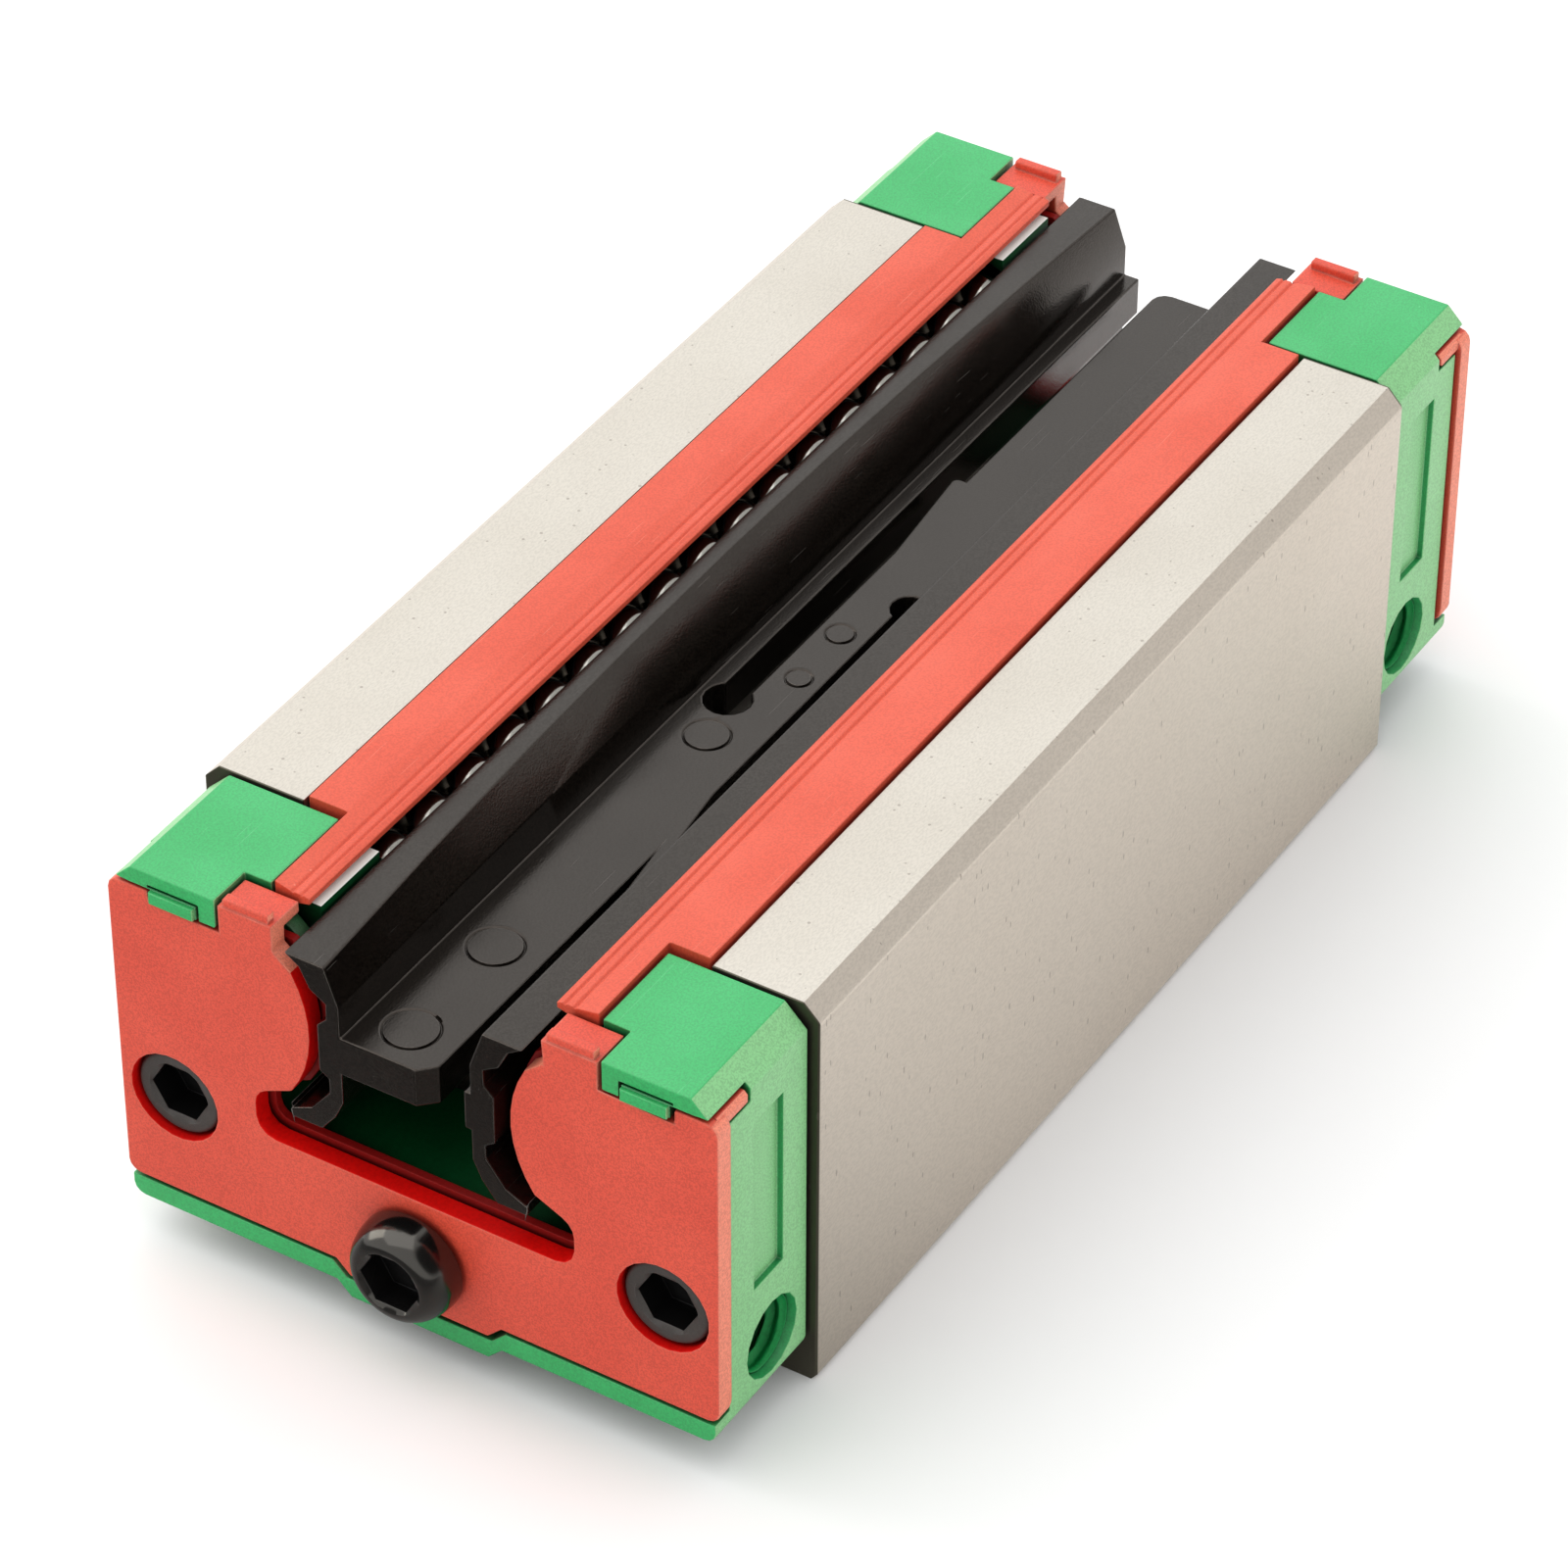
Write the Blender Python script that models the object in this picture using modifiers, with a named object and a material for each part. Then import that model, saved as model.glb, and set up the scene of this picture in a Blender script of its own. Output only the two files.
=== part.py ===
"""Linear guide: a long square ball carriage standing on its mounting face, with its shipping rail.

X runs along the travel, +Y is the left side, +Z points away from the mounting face.
The origin is at the centre of the mounting face. Every length is in metres.
Sideways places follow the return bores inward from the steel's sides, and heights are
measured down from the face that the rail enters, because both ends meet the rail there.
"""
import math

import bmesh
import bpy
from mathutils import Matrix, Vector

MM = 0.001

# Clearance left between pieces that touch on the real carriage
GAP = 0.3 * MM
# How far a cutter runs past the face that it opens
OVERCUT = 1.0 * MM
# Distance within which points are joined
MERGE = 0.00001

# Steel carriage
BLOCK_LENGTH = 79.6 * MM
BLOCK_WIDTH = 48.0 * MM
BLOCK_HEIGHT = 32.5 * MM
BLOCK_CHAMFER = 1.25 * MM
BLOCK_FOOT_CHAMFER = 0.5 * MM
SIDE_WALL = 2.5 * MM
MOUTH_STEP = 5.0 * MM
CHANNEL_DEPTH = 19.9 * MM
CHANNEL_CHAMFER = 0.6 * MM

# Ball circuits
BALL_DIAMETER = 4.76 * MM
TURN_RADIUS = 3.65 * MM
UPPER_ROW_DROP = 4.5 * MM
ROW_PITCH = 7.4 * MM
NECK_RADIUS = 0.6 * MM
TUBE_WALL = 0.3 * MM
GROOVE_LIP_ANGLE = math.radians(80)

# Mounting threads in the mounting face
MOUNT_PITCH_X = 50.0 * MM
MOUNT_EDGE = 6.5 * MM
MOUNT_DRILL = 5.0 * MM
MOUNT_DEPTH = 8.0 * MM
MOUNT_SINK = 6.2 * MM

# End caps
CAP_LENGTH = 11.2 * MM
CAP_INSET = 0.7 * MM
CAP_HEIGHT = 29.2 * MM
CAP_CHAMFER = 1.7 * MM
CAP_CORNER = 0.9 * MM
TAB_WIDTH = 11.0 * MM
TAB_DROP = 1.1 * MM
LIP_HEIGHT = 1.3 * MM
ROOF_THICKNESS = 1.0 * MM
TONGUE_LENGTH = 3.6 * MM
TONGUE_INSET = 5.75 * MM
TONGUE_REACH = 0.4 * MM
TONGUE_SLIT = 0.25 * MM
CAP_MOUTH_STEP = 1.9 * MM

# Side panel and side port of an end cap, measured outward from the steel
PANEL_LENGTH = 3.5 * MM
PANEL_HEIGHT = 14.4 * MM
PANEL_DEPTH = 0.5 * MM
PANEL_OUT = 4.65 * MM
PANEL_DROP = 12.1 * MM
SIDE_PORT_OUT = 4.2 * MM
SIDE_PORT_DROP = 25.1 * MM
SIDE_PORT_BORE = 4.8 * MM
SIDE_PORT_SINK = 6.2 * MM
SIDE_PORT_DEPTH = 7.0 * MM

# End seal plates
PLATE_THICKNESS = 1.5 * MM
PLATE_INSET = 0.4 * MM
PLATE_DROP = 1.6 * MM
PLATE_FOOT_RISE = 1.9 * MM
FLANGE_REACH = 3.2 * MM
FLANGE_STEP = 3.7 * MM
FLANGE_THICKNESS = 0.9 * MM
FLANGE_SINK = 0.3 * MM
FLANGE_RIM = 0.75 * MM
HOOK_REACH = 4.1 * MM
HOOK_DEPTH = 1.4 * MM
HOOK_DROP = 1.1 * MM
HOOK_RISE = 0.4 * MM

# Rail opening of the seal plates
OPENING_MOUTH_STEP = 0.5 * MM
OPENING_BEND_DROP = 3.5 * MM
SHOULDER_DROP = 2.4 * MM
WAIST_STEP = 3.1 * MM
WAIST_DROP = 8.3 * MM
WAIST_BEND = 10.0 * MM
WAIST_REACH = 5.6 * MM
LOBE_STEP = 1.6 * MM
LOBE_DROP = 15.3 * MM
OPENING_DEPTH = 18.9 * MM
LOBE_CORNER = 1.5 * MM

# Rubber seal lips
RUBBER_THICKNESS = 0.6 * MM
RUBBER_OVERLAP = 0.35 * MM
RUBBER_BAND = 1.2 * MM

# Long seal strips beside the rail, measured sideways from the ball row
STRIP_RISE = 0.35 * MM
STRIP_THICKNESS = 1.35 * MM
STRIP_EDGE_THICKNESS = 0.6 * MM
STRIP_INNER_STEP = 1.6 * MM
STRIP_FLAT_STEP = 0.1 * MM
STRIP_SLOPE_STEP = 1.85 * MM
STRIP_GROOVE = 0.3 * MM

# Cap screws
SCREW_INSET = 4.7 * MM
SCREW_DROP = 19.0 * MM
SCREW_HEAD = 6.4 * MM
SCREW_HEAD_HEIGHT = 3.0 * MM
SCREW_SHANK = 4.0 * MM
SCREW_SINK = 0.5 * MM
SCREW_GRIP = 7.0 * MM
SCREW_HEX = 3.6 * MM
SCREW_HEX_DEPTH = 1.6 * MM

# Port plugs
PLUG_DROP = 23.9 * MM
PLUG_HEAD = 9.4 * MM
PLUG_HEAD_HEIGHT = 3.0 * MM
PLUG_SHANK = 4.6 * MM
PLUG_LENGTH = 7.0 * MM
PLUG_HEX = 4.0 * MM
PLUG_HEX_DEPTH = 1.8 * MM

# Shipping rail
RAIL_LENGTH = 103.0 * MM
RAIL_SHIFT = -0.2 * MM
RAIL_TOP_DROP = 1.5 * MM
RAIL_FLOOR_DROP = 7.0 * MM
RAIL_FOOT_DROP = 15.6 * MM
RAIL_FLOOR_THICKNESS = 3.1 * MM
RAIL_ARM_STEP = 1.7 * MM
RAIL_WAIST_STEP = 4.05 * MM
RAIL_WALL = 1.8 * MM
RAIL_RIDGE_WALL = 3.1 * MM
RAIL_RIDGE_DROP = 3.0 * MM
RAIL_BOW = 1.8 * MM
RAIL_NECK_CUT = 0.75 * MM
RAIL_NECK_RISE = 0.4 * MM
RAIL_TOE_STEP = 1.6 * MM

# Long openings in the rail floor, measured from the rail's near end
SLIT_MARGIN = 0.5 * MM
SLIT_WIDTH = 2.6 * MM
SLIT_TAPER = 6.0 * MM
SLIT_TAPER_DEPTH = 0.7 * MM
NEAR_SLIT_END = 26.4 * MM
FAR_SLIT_START = 28.2 * MM
FAR_SLIT_END = 58.9 * MM
RIGHT_KEYHOLE = 3.0 * MM
LEFT_KEYHOLE = 3.5 * MM
LEDGE_WIDTH = 1.2 * MM
SLOT_WIDTH = 2.1 * MM
SLOT_START = 43.5 * MM
SLOT_BUMP_START = 64.0 * MM
SLOT_BUMP_END = 74.0 * MM
SLOT_BUMP = 1.0 * MM
FLOOR_CORNER = 1.15 * MM
FLOOR_SHORTFALL = 0.7 * MM

# Facets round a full turn
BORE_SIDES = 16
SCREW_SIDES = 16
BALL_BEVEL = 1
TRACK_BEVEL = 2
CORNER_STEPS = 3
TURN_STEPS = 10

# Derived places
HALF_BLOCK = BLOCK_LENGTH / 2
HALF_WIDTH = BLOCK_WIDTH / 2
BALL_RADIUS = BALL_DIAMETER / 2
TRACK_RADIUS = BALL_RADIUS + GAP
TUBE_OUTER = TRACK_RADIUS + TUBE_WALL
BORE_RADIUS = TUBE_OUTER + GAP
RETURN_Y = HALF_WIDTH - SIDE_WALL - BORE_RADIUS
BALL_ROW_Y = RETURN_Y - 2 * TURN_RADIUS
TURN_Y = BALL_ROW_Y + TURN_RADIUS
UPPER_ROW_Z = BLOCK_HEIGHT - UPPER_ROW_DROP
LOWER_ROW_Z = UPPER_ROW_Z - ROW_PITCH
ROWS_Z = (UPPER_ROW_Z + LOWER_ROW_Z) / 2
WALL_Y = BALL_ROW_Y + TRACK_RADIUS
MOUTH_Y = BALL_ROW_Y + MOUTH_STEP
CHANNEL_Z = BLOCK_HEIGHT - CHANNEL_DEPTH
CAP_BACK = HALF_BLOCK + GAP
CAP_FRONT = CAP_BACK + CAP_LENGTH
HALF_CAP = HALF_WIDTH - CAP_INSET
CAP_FOOT_Z = BLOCK_HEIGHT - CAP_HEIGHT
CAP_MOUTH_Y = BALL_ROW_Y + CAP_MOUTH_STEP
TONGUE_Y = HALF_WIDTH - TONGUE_INSET
PLATE_BACK = CAP_FRONT - PLATE_THICKNESS
PLATE_SEAT = PLATE_BACK - GAP
PLATE_Y = HALF_WIDTH - PLATE_INSET
PLATE_TOP_Z = BLOCK_HEIGHT - PLATE_DROP
PLATE_FOOT_Z = CAP_FOOT_Z + PLATE_FOOT_RISE
FLANGE_END = CAP_FRONT - FLANGE_REACH
FLANGE_Y = BALL_ROW_Y + FLANGE_STEP
FLANGE_TOP_Z = BLOCK_HEIGHT - FLANGE_SINK
NOTCH_Z = BLOCK_HEIGHT - PLATE_DROP - LIP_HEIGHT + GAP
STRIP_TOP_Z = BLOCK_HEIGHT + STRIP_RISE
STRIP_FOOT_Z = STRIP_TOP_Z - STRIP_THICKNESS
STRIP_INNER_Y = BALL_ROW_Y - STRIP_INNER_STEP
LEDGE_Z = STRIP_FOOT_Z - 3 * GAP
GUIDE_REACH = TURN_RADIUS + TRACK_RADIUS + 2 * GAP
GUIDE_TOP_Z = UPPER_ROW_Z + TRACK_RADIUS + GAP
GUIDE_FOOT_Z = LOWER_ROW_Z - TRACK_RADIUS - GAP
GUIDE_INNER_Y = STRIP_INNER_Y + GAP
GUIDE_OUTER_Y = RETURN_Y + TRACK_RADIUS + GAP
SCREW_Y = HALF_WIDTH - SCREW_INSET
SCREW_Z = BLOCK_HEIGHT - SCREW_DROP
PLUG_Z = BLOCK_HEIGHT - PLUG_DROP
RAIL_NEAR = RAIL_SHIFT - RAIL_LENGTH / 2
RAIL_FAR = RAIL_SHIFT + RAIL_LENGTH / 2
RAIL_TOP_Z = BLOCK_HEIGHT - RAIL_TOP_DROP
RAIL_FLOOR_Z = BLOCK_HEIGHT - RAIL_FLOOR_DROP
RAIL_UNDER_Z = RAIL_FLOOR_Z - RAIL_FLOOR_THICKNESS
RAIL_NECK_Z = RAIL_FLOOR_Z + RAIL_NECK_RISE
RAIL_FOOT_Z = BLOCK_HEIGHT - RAIL_FOOT_DROP
RAIL_ARM_Y = BALL_ROW_Y - RAIL_ARM_STEP
RAIL_WAIST_Y = BALL_ROW_Y - RAIL_WAIST_STEP
RAIL_NECK_Y = RAIL_WAIST_Y - RAIL_NECK_CUT
RAIL_TOE_Y = BALL_ROW_Y - RAIL_TOE_STEP
RAIL_INNER_Y = RAIL_WAIST_Y - RAIL_WALL
RAIL_RIDGE_Y = RAIL_ARM_Y - RAIL_RIDGE_WALL
SLIT_Y = SLIT_MARGIN - RAIL_INNER_Y
FLOOR_RIGHT_Y = SLIT_Y + SLIT_WIDTH
LEDGE_Y = RAIL_INNER_Y - LEDGE_WIDTH
FLOOR_LEFT_Y = LEDGE_Y - SLOT_WIDTH

STEEL = (0.62, 0.58, 0.53)
GREEN = (0.08, 0.50, 0.20)
RED = (0.75, 0.12, 0.07)
DARK_RED = (0.30, 0.02, 0.02)
WHITE = (0.82, 0.82, 0.78)
BLACK = (0.02, 0.02, 0.02)
BLACK_RAIL = (0.06, 0.055, 0.05)
CHROME = (0.75, 0.75, 0.75)

# Rotation that stands a flat outline up, so that it is drawn out along the named axis
UPRIGHT = {"X": (math.pi / 2, 0, math.pi / 2), "Z": (0, 0, 0)}
# Rotation that lays a cylinder along the named axis
DRILLED = {"X": (0, math.pi / 2, 0), "Y": (-math.pi / 2, 0, 0), "Z": (0, 0, 0)}


def clear_scene():
    """Take every object that the file starts with out of the scene."""
    for item in list(bpy.data.objects):
        bpy.data.objects.remove(item)


def new_collection(name):
    """Return a new collection linked to the scene."""
    group = bpy.data.collections.new(name)
    bpy.context.scene.collection.children.link(group)
    return group


def new_empty(name, group):
    """Return an empty at the origin."""
    empty = bpy.data.objects.new(name, None)
    group.objects.link(empty)
    return empty


def dress(item, carrier, colour, metallic=0.0, roughness=0.5):
    """Give a piece its carrier and its own material."""
    material = bpy.data.materials.new(item.name)
    material.use_nodes = True
    shader = material.node_tree.nodes["Principled BSDF"]
    shader.inputs["Base Color"].default_value = (*colour, 1.0)
    shader.inputs["Metallic"].default_value = metallic
    shader.inputs["Roughness"].default_value = roughness
    material.diffuse_color = (*colour, 1.0)
    item.data.materials.append(material)
    item.parent = carrier
    return item


def object_from(name, bm, group, location=(0, 0, 0)):
    """Turn a bmesh into an object at a location."""
    mesh = bpy.data.meshes.new(name)
    bm.to_mesh(mesh)
    bm.free()
    item = bpy.data.objects.new(name, mesh)
    item.location = location
    group.objects.link(item)
    return item


def mesh_from(draft, name, group):
    """Replace a curve object with a mesh object whose caps are joined to its sides."""
    bpy.context.view_layer.update()
    graph = bpy.context.evaluated_depsgraph_get()
    mesh = bpy.data.meshes.new_from_object(draft.evaluated_get(graph))
    mesh.name = name
    bm = bmesh.new()
    bm.from_mesh(mesh)
    bmesh.ops.remove_doubles(bm, verts=bm.verts, dist=MERGE)
    bm.to_mesh(mesh)
    bm.free()
    item = bpy.data.objects.new(name, mesh)
    item.matrix_world = draft.matrix_world.copy()
    group.objects.link(item)
    bpy.data.objects.remove(draft)
    return item


def extruded(name, outlines, axis, ends, group):
    """Return flat outlines, a rim and any holes, drawn out along an axis between two ends."""
    curve = bpy.data.curves.new(name, "CURVE")
    curve.dimensions = "2D"
    curve.fill_mode = "BOTH"
    curve.extrude = abs(ends[1] - ends[0]) / 2
    for outline in outlines:
        spline = curve.splines.new("POLY")
        spline.points.add(len(outline) - 1)
        for point, (first, second) in zip(spline.points, outline):
            point.co = (first, second, 0, 1)
        spline.use_cyclic_u = True
    draft = bpy.data.objects.new(name + "_outline", curve)
    draft.rotation_euler = UPRIGHT[axis]
    draft.location["XYZ".index(axis)] = (ends[0] + ends[1]) / 2
    group.objects.link(draft)
    return mesh_from(draft, name, group)


def tube_along(name, points, radii, depth, bevel, cyclic, group, centre):
    """Return a round tube along points, scaled at each point by a radius."""
    curve = bpy.data.curves.new(name, "CURVE")
    curve.dimensions = "3D"
    curve.twist_mode = "Z_UP"
    curve.bevel_depth = depth
    curve.bevel_resolution = bevel
    curve.use_fill_caps = not cyclic
    spline = curve.splines.new("POLY")
    spline.points.add(len(points) - 1)
    for point, place, radius in zip(spline.points, points, radii):
        point.co = (*(Vector(place) - Vector(centre)), 1)
        point.radius = radius
    spline.use_cyclic_u = cyclic
    draft = bpy.data.objects.new(name + "_path", curve)
    draft.location = centre
    group.objects.link(draft)
    return mesh_from(draft, name, group)


def box(name, along, across, upward, group):
    """Return a box between pairs of X, Y and Z places."""
    bm = bmesh.new()
    bmesh.ops.create_cube(bm, size=1.0)
    size = [abs(pair[1] - pair[0]) for pair in (along, across, upward)]
    bmesh.ops.scale(bm, vec=size, verts=bm.verts)
    return object_from(name, bm, group, [sum(pair) / 2 for pair in (along, across, upward)])


def drilled(name, axis, ends, radii, centre, group, sides=BORE_SIDES):
    """Return a cylinder or cone along an axis, with a radius at its lower and at its upper end."""
    bm = bmesh.new()
    bmesh.ops.create_cone(bm, cap_ends=True, segments=sides, radius1=radii[0], radius2=radii[1],
                          depth=abs(ends[1] - ends[0]))
    place = list(centre)
    place.insert("XYZ".index(axis), sum(ends) / 2)
    item = object_from(name, bm, group, place)
    item.rotation_euler = DRILLED[axis]
    return item


def turned(name, profile, sides, group):
    """Return a profile, given as radius and height from its top down, turned round its own Z."""
    bm = bmesh.new()
    verts = [bm.verts.new((radius, 0, height)) for radius, height in profile]
    for upper, lower in zip(verts, verts[1:]):
        bm.edges.new((upper, lower))
    item = object_from(name, bm, group)
    turn = item.modifiers.new("Turn", "SCREW")
    turn.steps = sides
    turn.render_steps = sides
    turn.use_merge_vertices = True
    turn.merge_threshold = MERGE
    return item


def mirror(item, middle, axes="Y", bisect=False):
    """Repeat an object on the far side of the carriage's middle planes."""
    step = item.modifiers.new("Mirror", "MIRROR")
    step.mirror_object = middle
    step.merge_threshold = MERGE
    step.bisect_threshold = MERGE
    for i, axis in enumerate("XYZ"):
        step.use_axis[i] = axis in axes
        step.use_bisect_axis[i] = bisect and axis in axes
    return item


def cut(item, cutter, operation="DIFFERENCE"):
    """Cut an object with another, or join the other to it."""
    step = item.modifiers.new(cutter.name, "BOOLEAN")
    step.operation = operation
    step.solver = "EXACT"
    step.object = cutter
    cutter.hide_render = True
    cutter.display_type = "WIRE"
    return item


def settle(item):
    """Replace an object's mesh with the result of its modifiers, shaded smooth where it is round."""
    bpy.context.view_layer.update()
    graph = bpy.context.evaluated_depsgraph_get()
    mesh = bpy.data.meshes.new_from_object(item.evaluated_get(graph))
    mesh.name = item.name
    item.modifiers.clear()
    item.data = mesh
    mesh.shade_smooth()
    mesh.set_sharp_from_angle(angle=math.radians(30))
    return item


def turned_copy(item, name, group, axis="Z", centre=(0, 0, 0)):
    """Return an object with the same mesh, turned half round an axis through a centre."""
    bpy.context.view_layer.update()
    there = Matrix.Translation(centre)
    twin = bpy.data.objects.new(name, item.data)
    twin.matrix_world = there @ Matrix.Rotation(math.pi, 4, axis) @ there.inverted() @ item.matrix_world
    group.objects.link(twin)
    twin.parent = item.parent
    return twin


def circle(centre, radius, sides=BORE_SIDES):
    """Return the points of a circle in 2-D."""
    step = 2 * math.pi / sides
    return [(centre[0] + radius * math.cos(step * (i + 0.5)), centre[1] + radius * math.sin(step * (i + 0.5)))
            for i in range(sides)]


def arc(centre, radius, start, stop, steps):
    """Return the points of an arc in 2-D between two angles."""
    angles = [start + (stop - start) * i / steps for i in range(steps + 1)]
    return [(centre[0] + radius * math.cos(a), centre[1] + radius * math.sin(a)) for a in angles]


def rounded(corners):
    """Return an outline from corners given as (first, second, radius), each with its arc."""
    points = []
    count = len(corners)
    for i, (first, second, radius) in enumerate(corners):
        if radius == 0:
            points.append((first, second))
            continue
        corner = Vector((first, second))
        back = (Vector(corners[i - 1][:2]) - corner).normalized()
        ahead = (Vector(corners[(i + 1) % count][:2]) - corner).normalized()
        half = back.angle(ahead) / 2
        centre = corner + (back + ahead).normalized() * (radius / math.sin(half))
        start = (corner + back * (radius / math.tan(half)) - centre).normalized()
        stop = (corner + ahead * (radius / math.tan(half)) - centre).normalized()
        for k in range(CORNER_STEPS + 1):
            points.append(tuple(centre + start.slerp(stop, k / CORNER_STEPS) * radius))
    return points


def build_block(carrier, middle, parts, cutters):
    """Return the steel carriage with grooves, return bores, cap threads and mounting threads."""
    lip = GROOVE_LIP_ANGLE
    half = [(-OVERCUT, 0), (HALF_WIDTH - BLOCK_FOOT_CHAMFER, 0), (HALF_WIDTH, BLOCK_FOOT_CHAMFER),
            (HALF_WIDTH, BLOCK_HEIGHT - BLOCK_CHAMFER), (HALF_WIDTH - BLOCK_CHAMFER, BLOCK_HEIGHT),
            (MOUTH_Y, BLOCK_HEIGHT), (MOUTH_Y, LEDGE_Z), (WALL_Y, LEDGE_Z)]
    half += arc((BALL_ROW_Y, UPPER_ROW_Z), TRACK_RADIUS, 0, -lip, 4)
    half += arc((BALL_ROW_Y, LOWER_ROW_Z), TRACK_RADIUS, lip, 0, 4)
    half += [(WALL_Y, CHANNEL_Z + CHANNEL_CHAMFER), (WALL_Y - CHANNEL_CHAMFER, CHANNEL_Z),
             (-OVERCUT, CHANNEL_Z)]
    block = extruded("carriage_block", [half], "X", (-HALF_BLOCK, HALF_BLOCK), parts)
    mirror(block, middle, bisect=True)
    through = (-HALF_BLOCK - OVERCUT, HALF_BLOCK + OVERCUT)
    for row, row_z in (("upper", UPPER_ROW_Z), ("lower", LOWER_ROW_Z)):
        bore = drilled(row + "_return_bores", "X", through, (BORE_RADIUS, BORE_RADIUS), (RETURN_Y, row_z),
                       cutters)
        cut(block, mirror(bore, middle))
    hole = SCREW_SHANK / 2 + GAP
    thread = drilled("cap_threads", "X", (HALF_BLOCK - SCREW_GRIP, HALF_BLOCK + OVERCUT), (hole, hole),
                     (SCREW_Y, SCREW_Z), cutters)
    cut(block, mirror(thread, middle, "XY"))
    centre = (MOUNT_PITCH_X / 2, HALF_WIDTH - MOUNT_EDGE)
    drill = MOUNT_DRILL / 2
    sink = MOUNT_SINK / 2
    depth = sink - drill
    mount = drilled("mounting_threads", "Z", (-OVERCUT, MOUNT_DEPTH), (drill, drill), centre, cutters)
    cut(block, mirror(mount, middle, "XY"))
    cone = drilled("mounting_sinks", "Z", (-depth, depth), (sink + depth, drill), centre, cutters)
    cut(block, mirror(cone, middle, "XY"))
    return dress(block, carrier, STEEL, 1.0, 0.35)


def circuit_point(distance):
    """Return the place (x, y) at a distance along the left ball circuit's centre line."""
    straight = 2 * CAP_BACK
    turn = math.pi * TURN_RADIUS
    if distance < straight:
        return -CAP_BACK + distance, BALL_ROW_Y
    distance -= straight
    if distance < turn:
        angle = distance / TURN_RADIUS
        return CAP_BACK + TURN_RADIUS * math.sin(angle), TURN_Y - TURN_RADIUS * math.cos(angle)
    distance -= turn
    if distance < straight:
        return CAP_BACK - distance, RETURN_Y
    angle = (distance - straight) / TURN_RADIUS
    return -CAP_BACK - TURN_RADIUS * math.sin(angle), TURN_Y + TURN_RADIUS * math.cos(angle)


def build_ball_circuit(name, row_z, carrier, parts):
    """Return one closed circuit of balls on the left side, joined to a chain by thin necks."""
    length = 4 * CAP_BACK + 2 * math.pi * TURN_RADIUS
    count = int(length // BALL_DIAMETER)
    pitch = length / count
    shoulder = 0.2 * pitch
    girth = math.sqrt(BALL_RADIUS ** 2 - shoulder ** 2) / BALL_RADIUS
    places = []
    radii = []
    for i in range(count):
        start = i * pitch
        for distance, radius in ((start, NECK_RADIUS / BALL_RADIUS), (start + pitch / 2 - shoulder, girth),
                                 (start + pitch / 2 + shoulder, girth)):
            places.append((*circuit_point(distance), row_z))
            radii.append(radius)
    chain = tube_along(name, places, radii, BALL_RADIUS, BALL_BEVEL, True, parts, (0, TURN_Y, row_z))
    return dress(chain, carrier, CHROME, 1.0, 0.12)


def build_return_tube(name, row_z, carrier, parts):
    """Return the plastic tube that lines one return bore on the left side."""
    centre = (RETURN_Y, row_z)
    rims = [circle(centre, TUBE_OUTER), circle(centre, TRACK_RADIUS)]
    tube = extruded(name, rims, "X", (-HALF_BLOCK + GAP, HALF_BLOCK - GAP), parts)
    return dress(tube, carrier, WHITE, 0.0, 0.4)


def opening_line(grow):
    """Return the left edge of the rail opening, grown by a distance, from the mouth down to the floor."""
    bend = WAIST_BEND - grow
    upper = math.asin((WAIST_DROP - OPENING_BEND_DROP) / WAIST_BEND)
    lower = math.asin(WAIST_REACH / WAIST_BEND)
    centre = (BALL_ROW_Y - WAIST_STEP + WAIST_BEND, BLOCK_HEIGHT - WAIST_DROP)
    waist = arc(centre, bend, math.pi - upper, math.pi + lower, 8)
    lobe_y = BALL_ROW_Y + LOBE_STEP + grow
    floor_z = BLOCK_HEIGHT - OPENING_DEPTH - grow
    corners = [(*waist[-1], 0), (lobe_y, BLOCK_HEIGHT - LOBE_DROP + grow / 2, LOBE_CORNER + grow),
               (lobe_y, floor_z, LOBE_CORNER + grow), (0, floor_z, 0)]
    mouth_y = BALL_ROW_Y - OPENING_MOUTH_STEP + grow
    mouth = [(mouth_y, FLANGE_TOP_Z), (mouth_y, BLOCK_HEIGHT - SHOULDER_DROP)]
    return mouth + waist[:-1] + rounded(corners)[:-1]


def plate_line(grow):
    """Return the seal plate's rim, grown by a clearance, from its mouth down to its foot."""
    edge = PLATE_Y + grow
    low = PLATE_FOOT_Z - grow
    high = PLATE_TOP_Z + grow
    notch_z = NOTCH_Z + grow
    notch_y = TONGUE_Y + TONGUE_LENGTH / 2 + GAP - grow
    tab = TAB_WIDTH / 2 + grow
    corners = [(FLANGE_Y + grow, FLANGE_TOP_Z, 0), (FLANGE_Y + grow, notch_z, 0), (notch_y, notch_z, 0),
               (notch_y, high, 0), (edge, high, CAP_CORNER), (edge, low, CAP_CORNER),
               (tab + TAB_DROP, low, 0), (tab, low - TAB_DROP, 0), (-OVERCUT, low - TAB_DROP, 0)]
    return rounded(corners)


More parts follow.
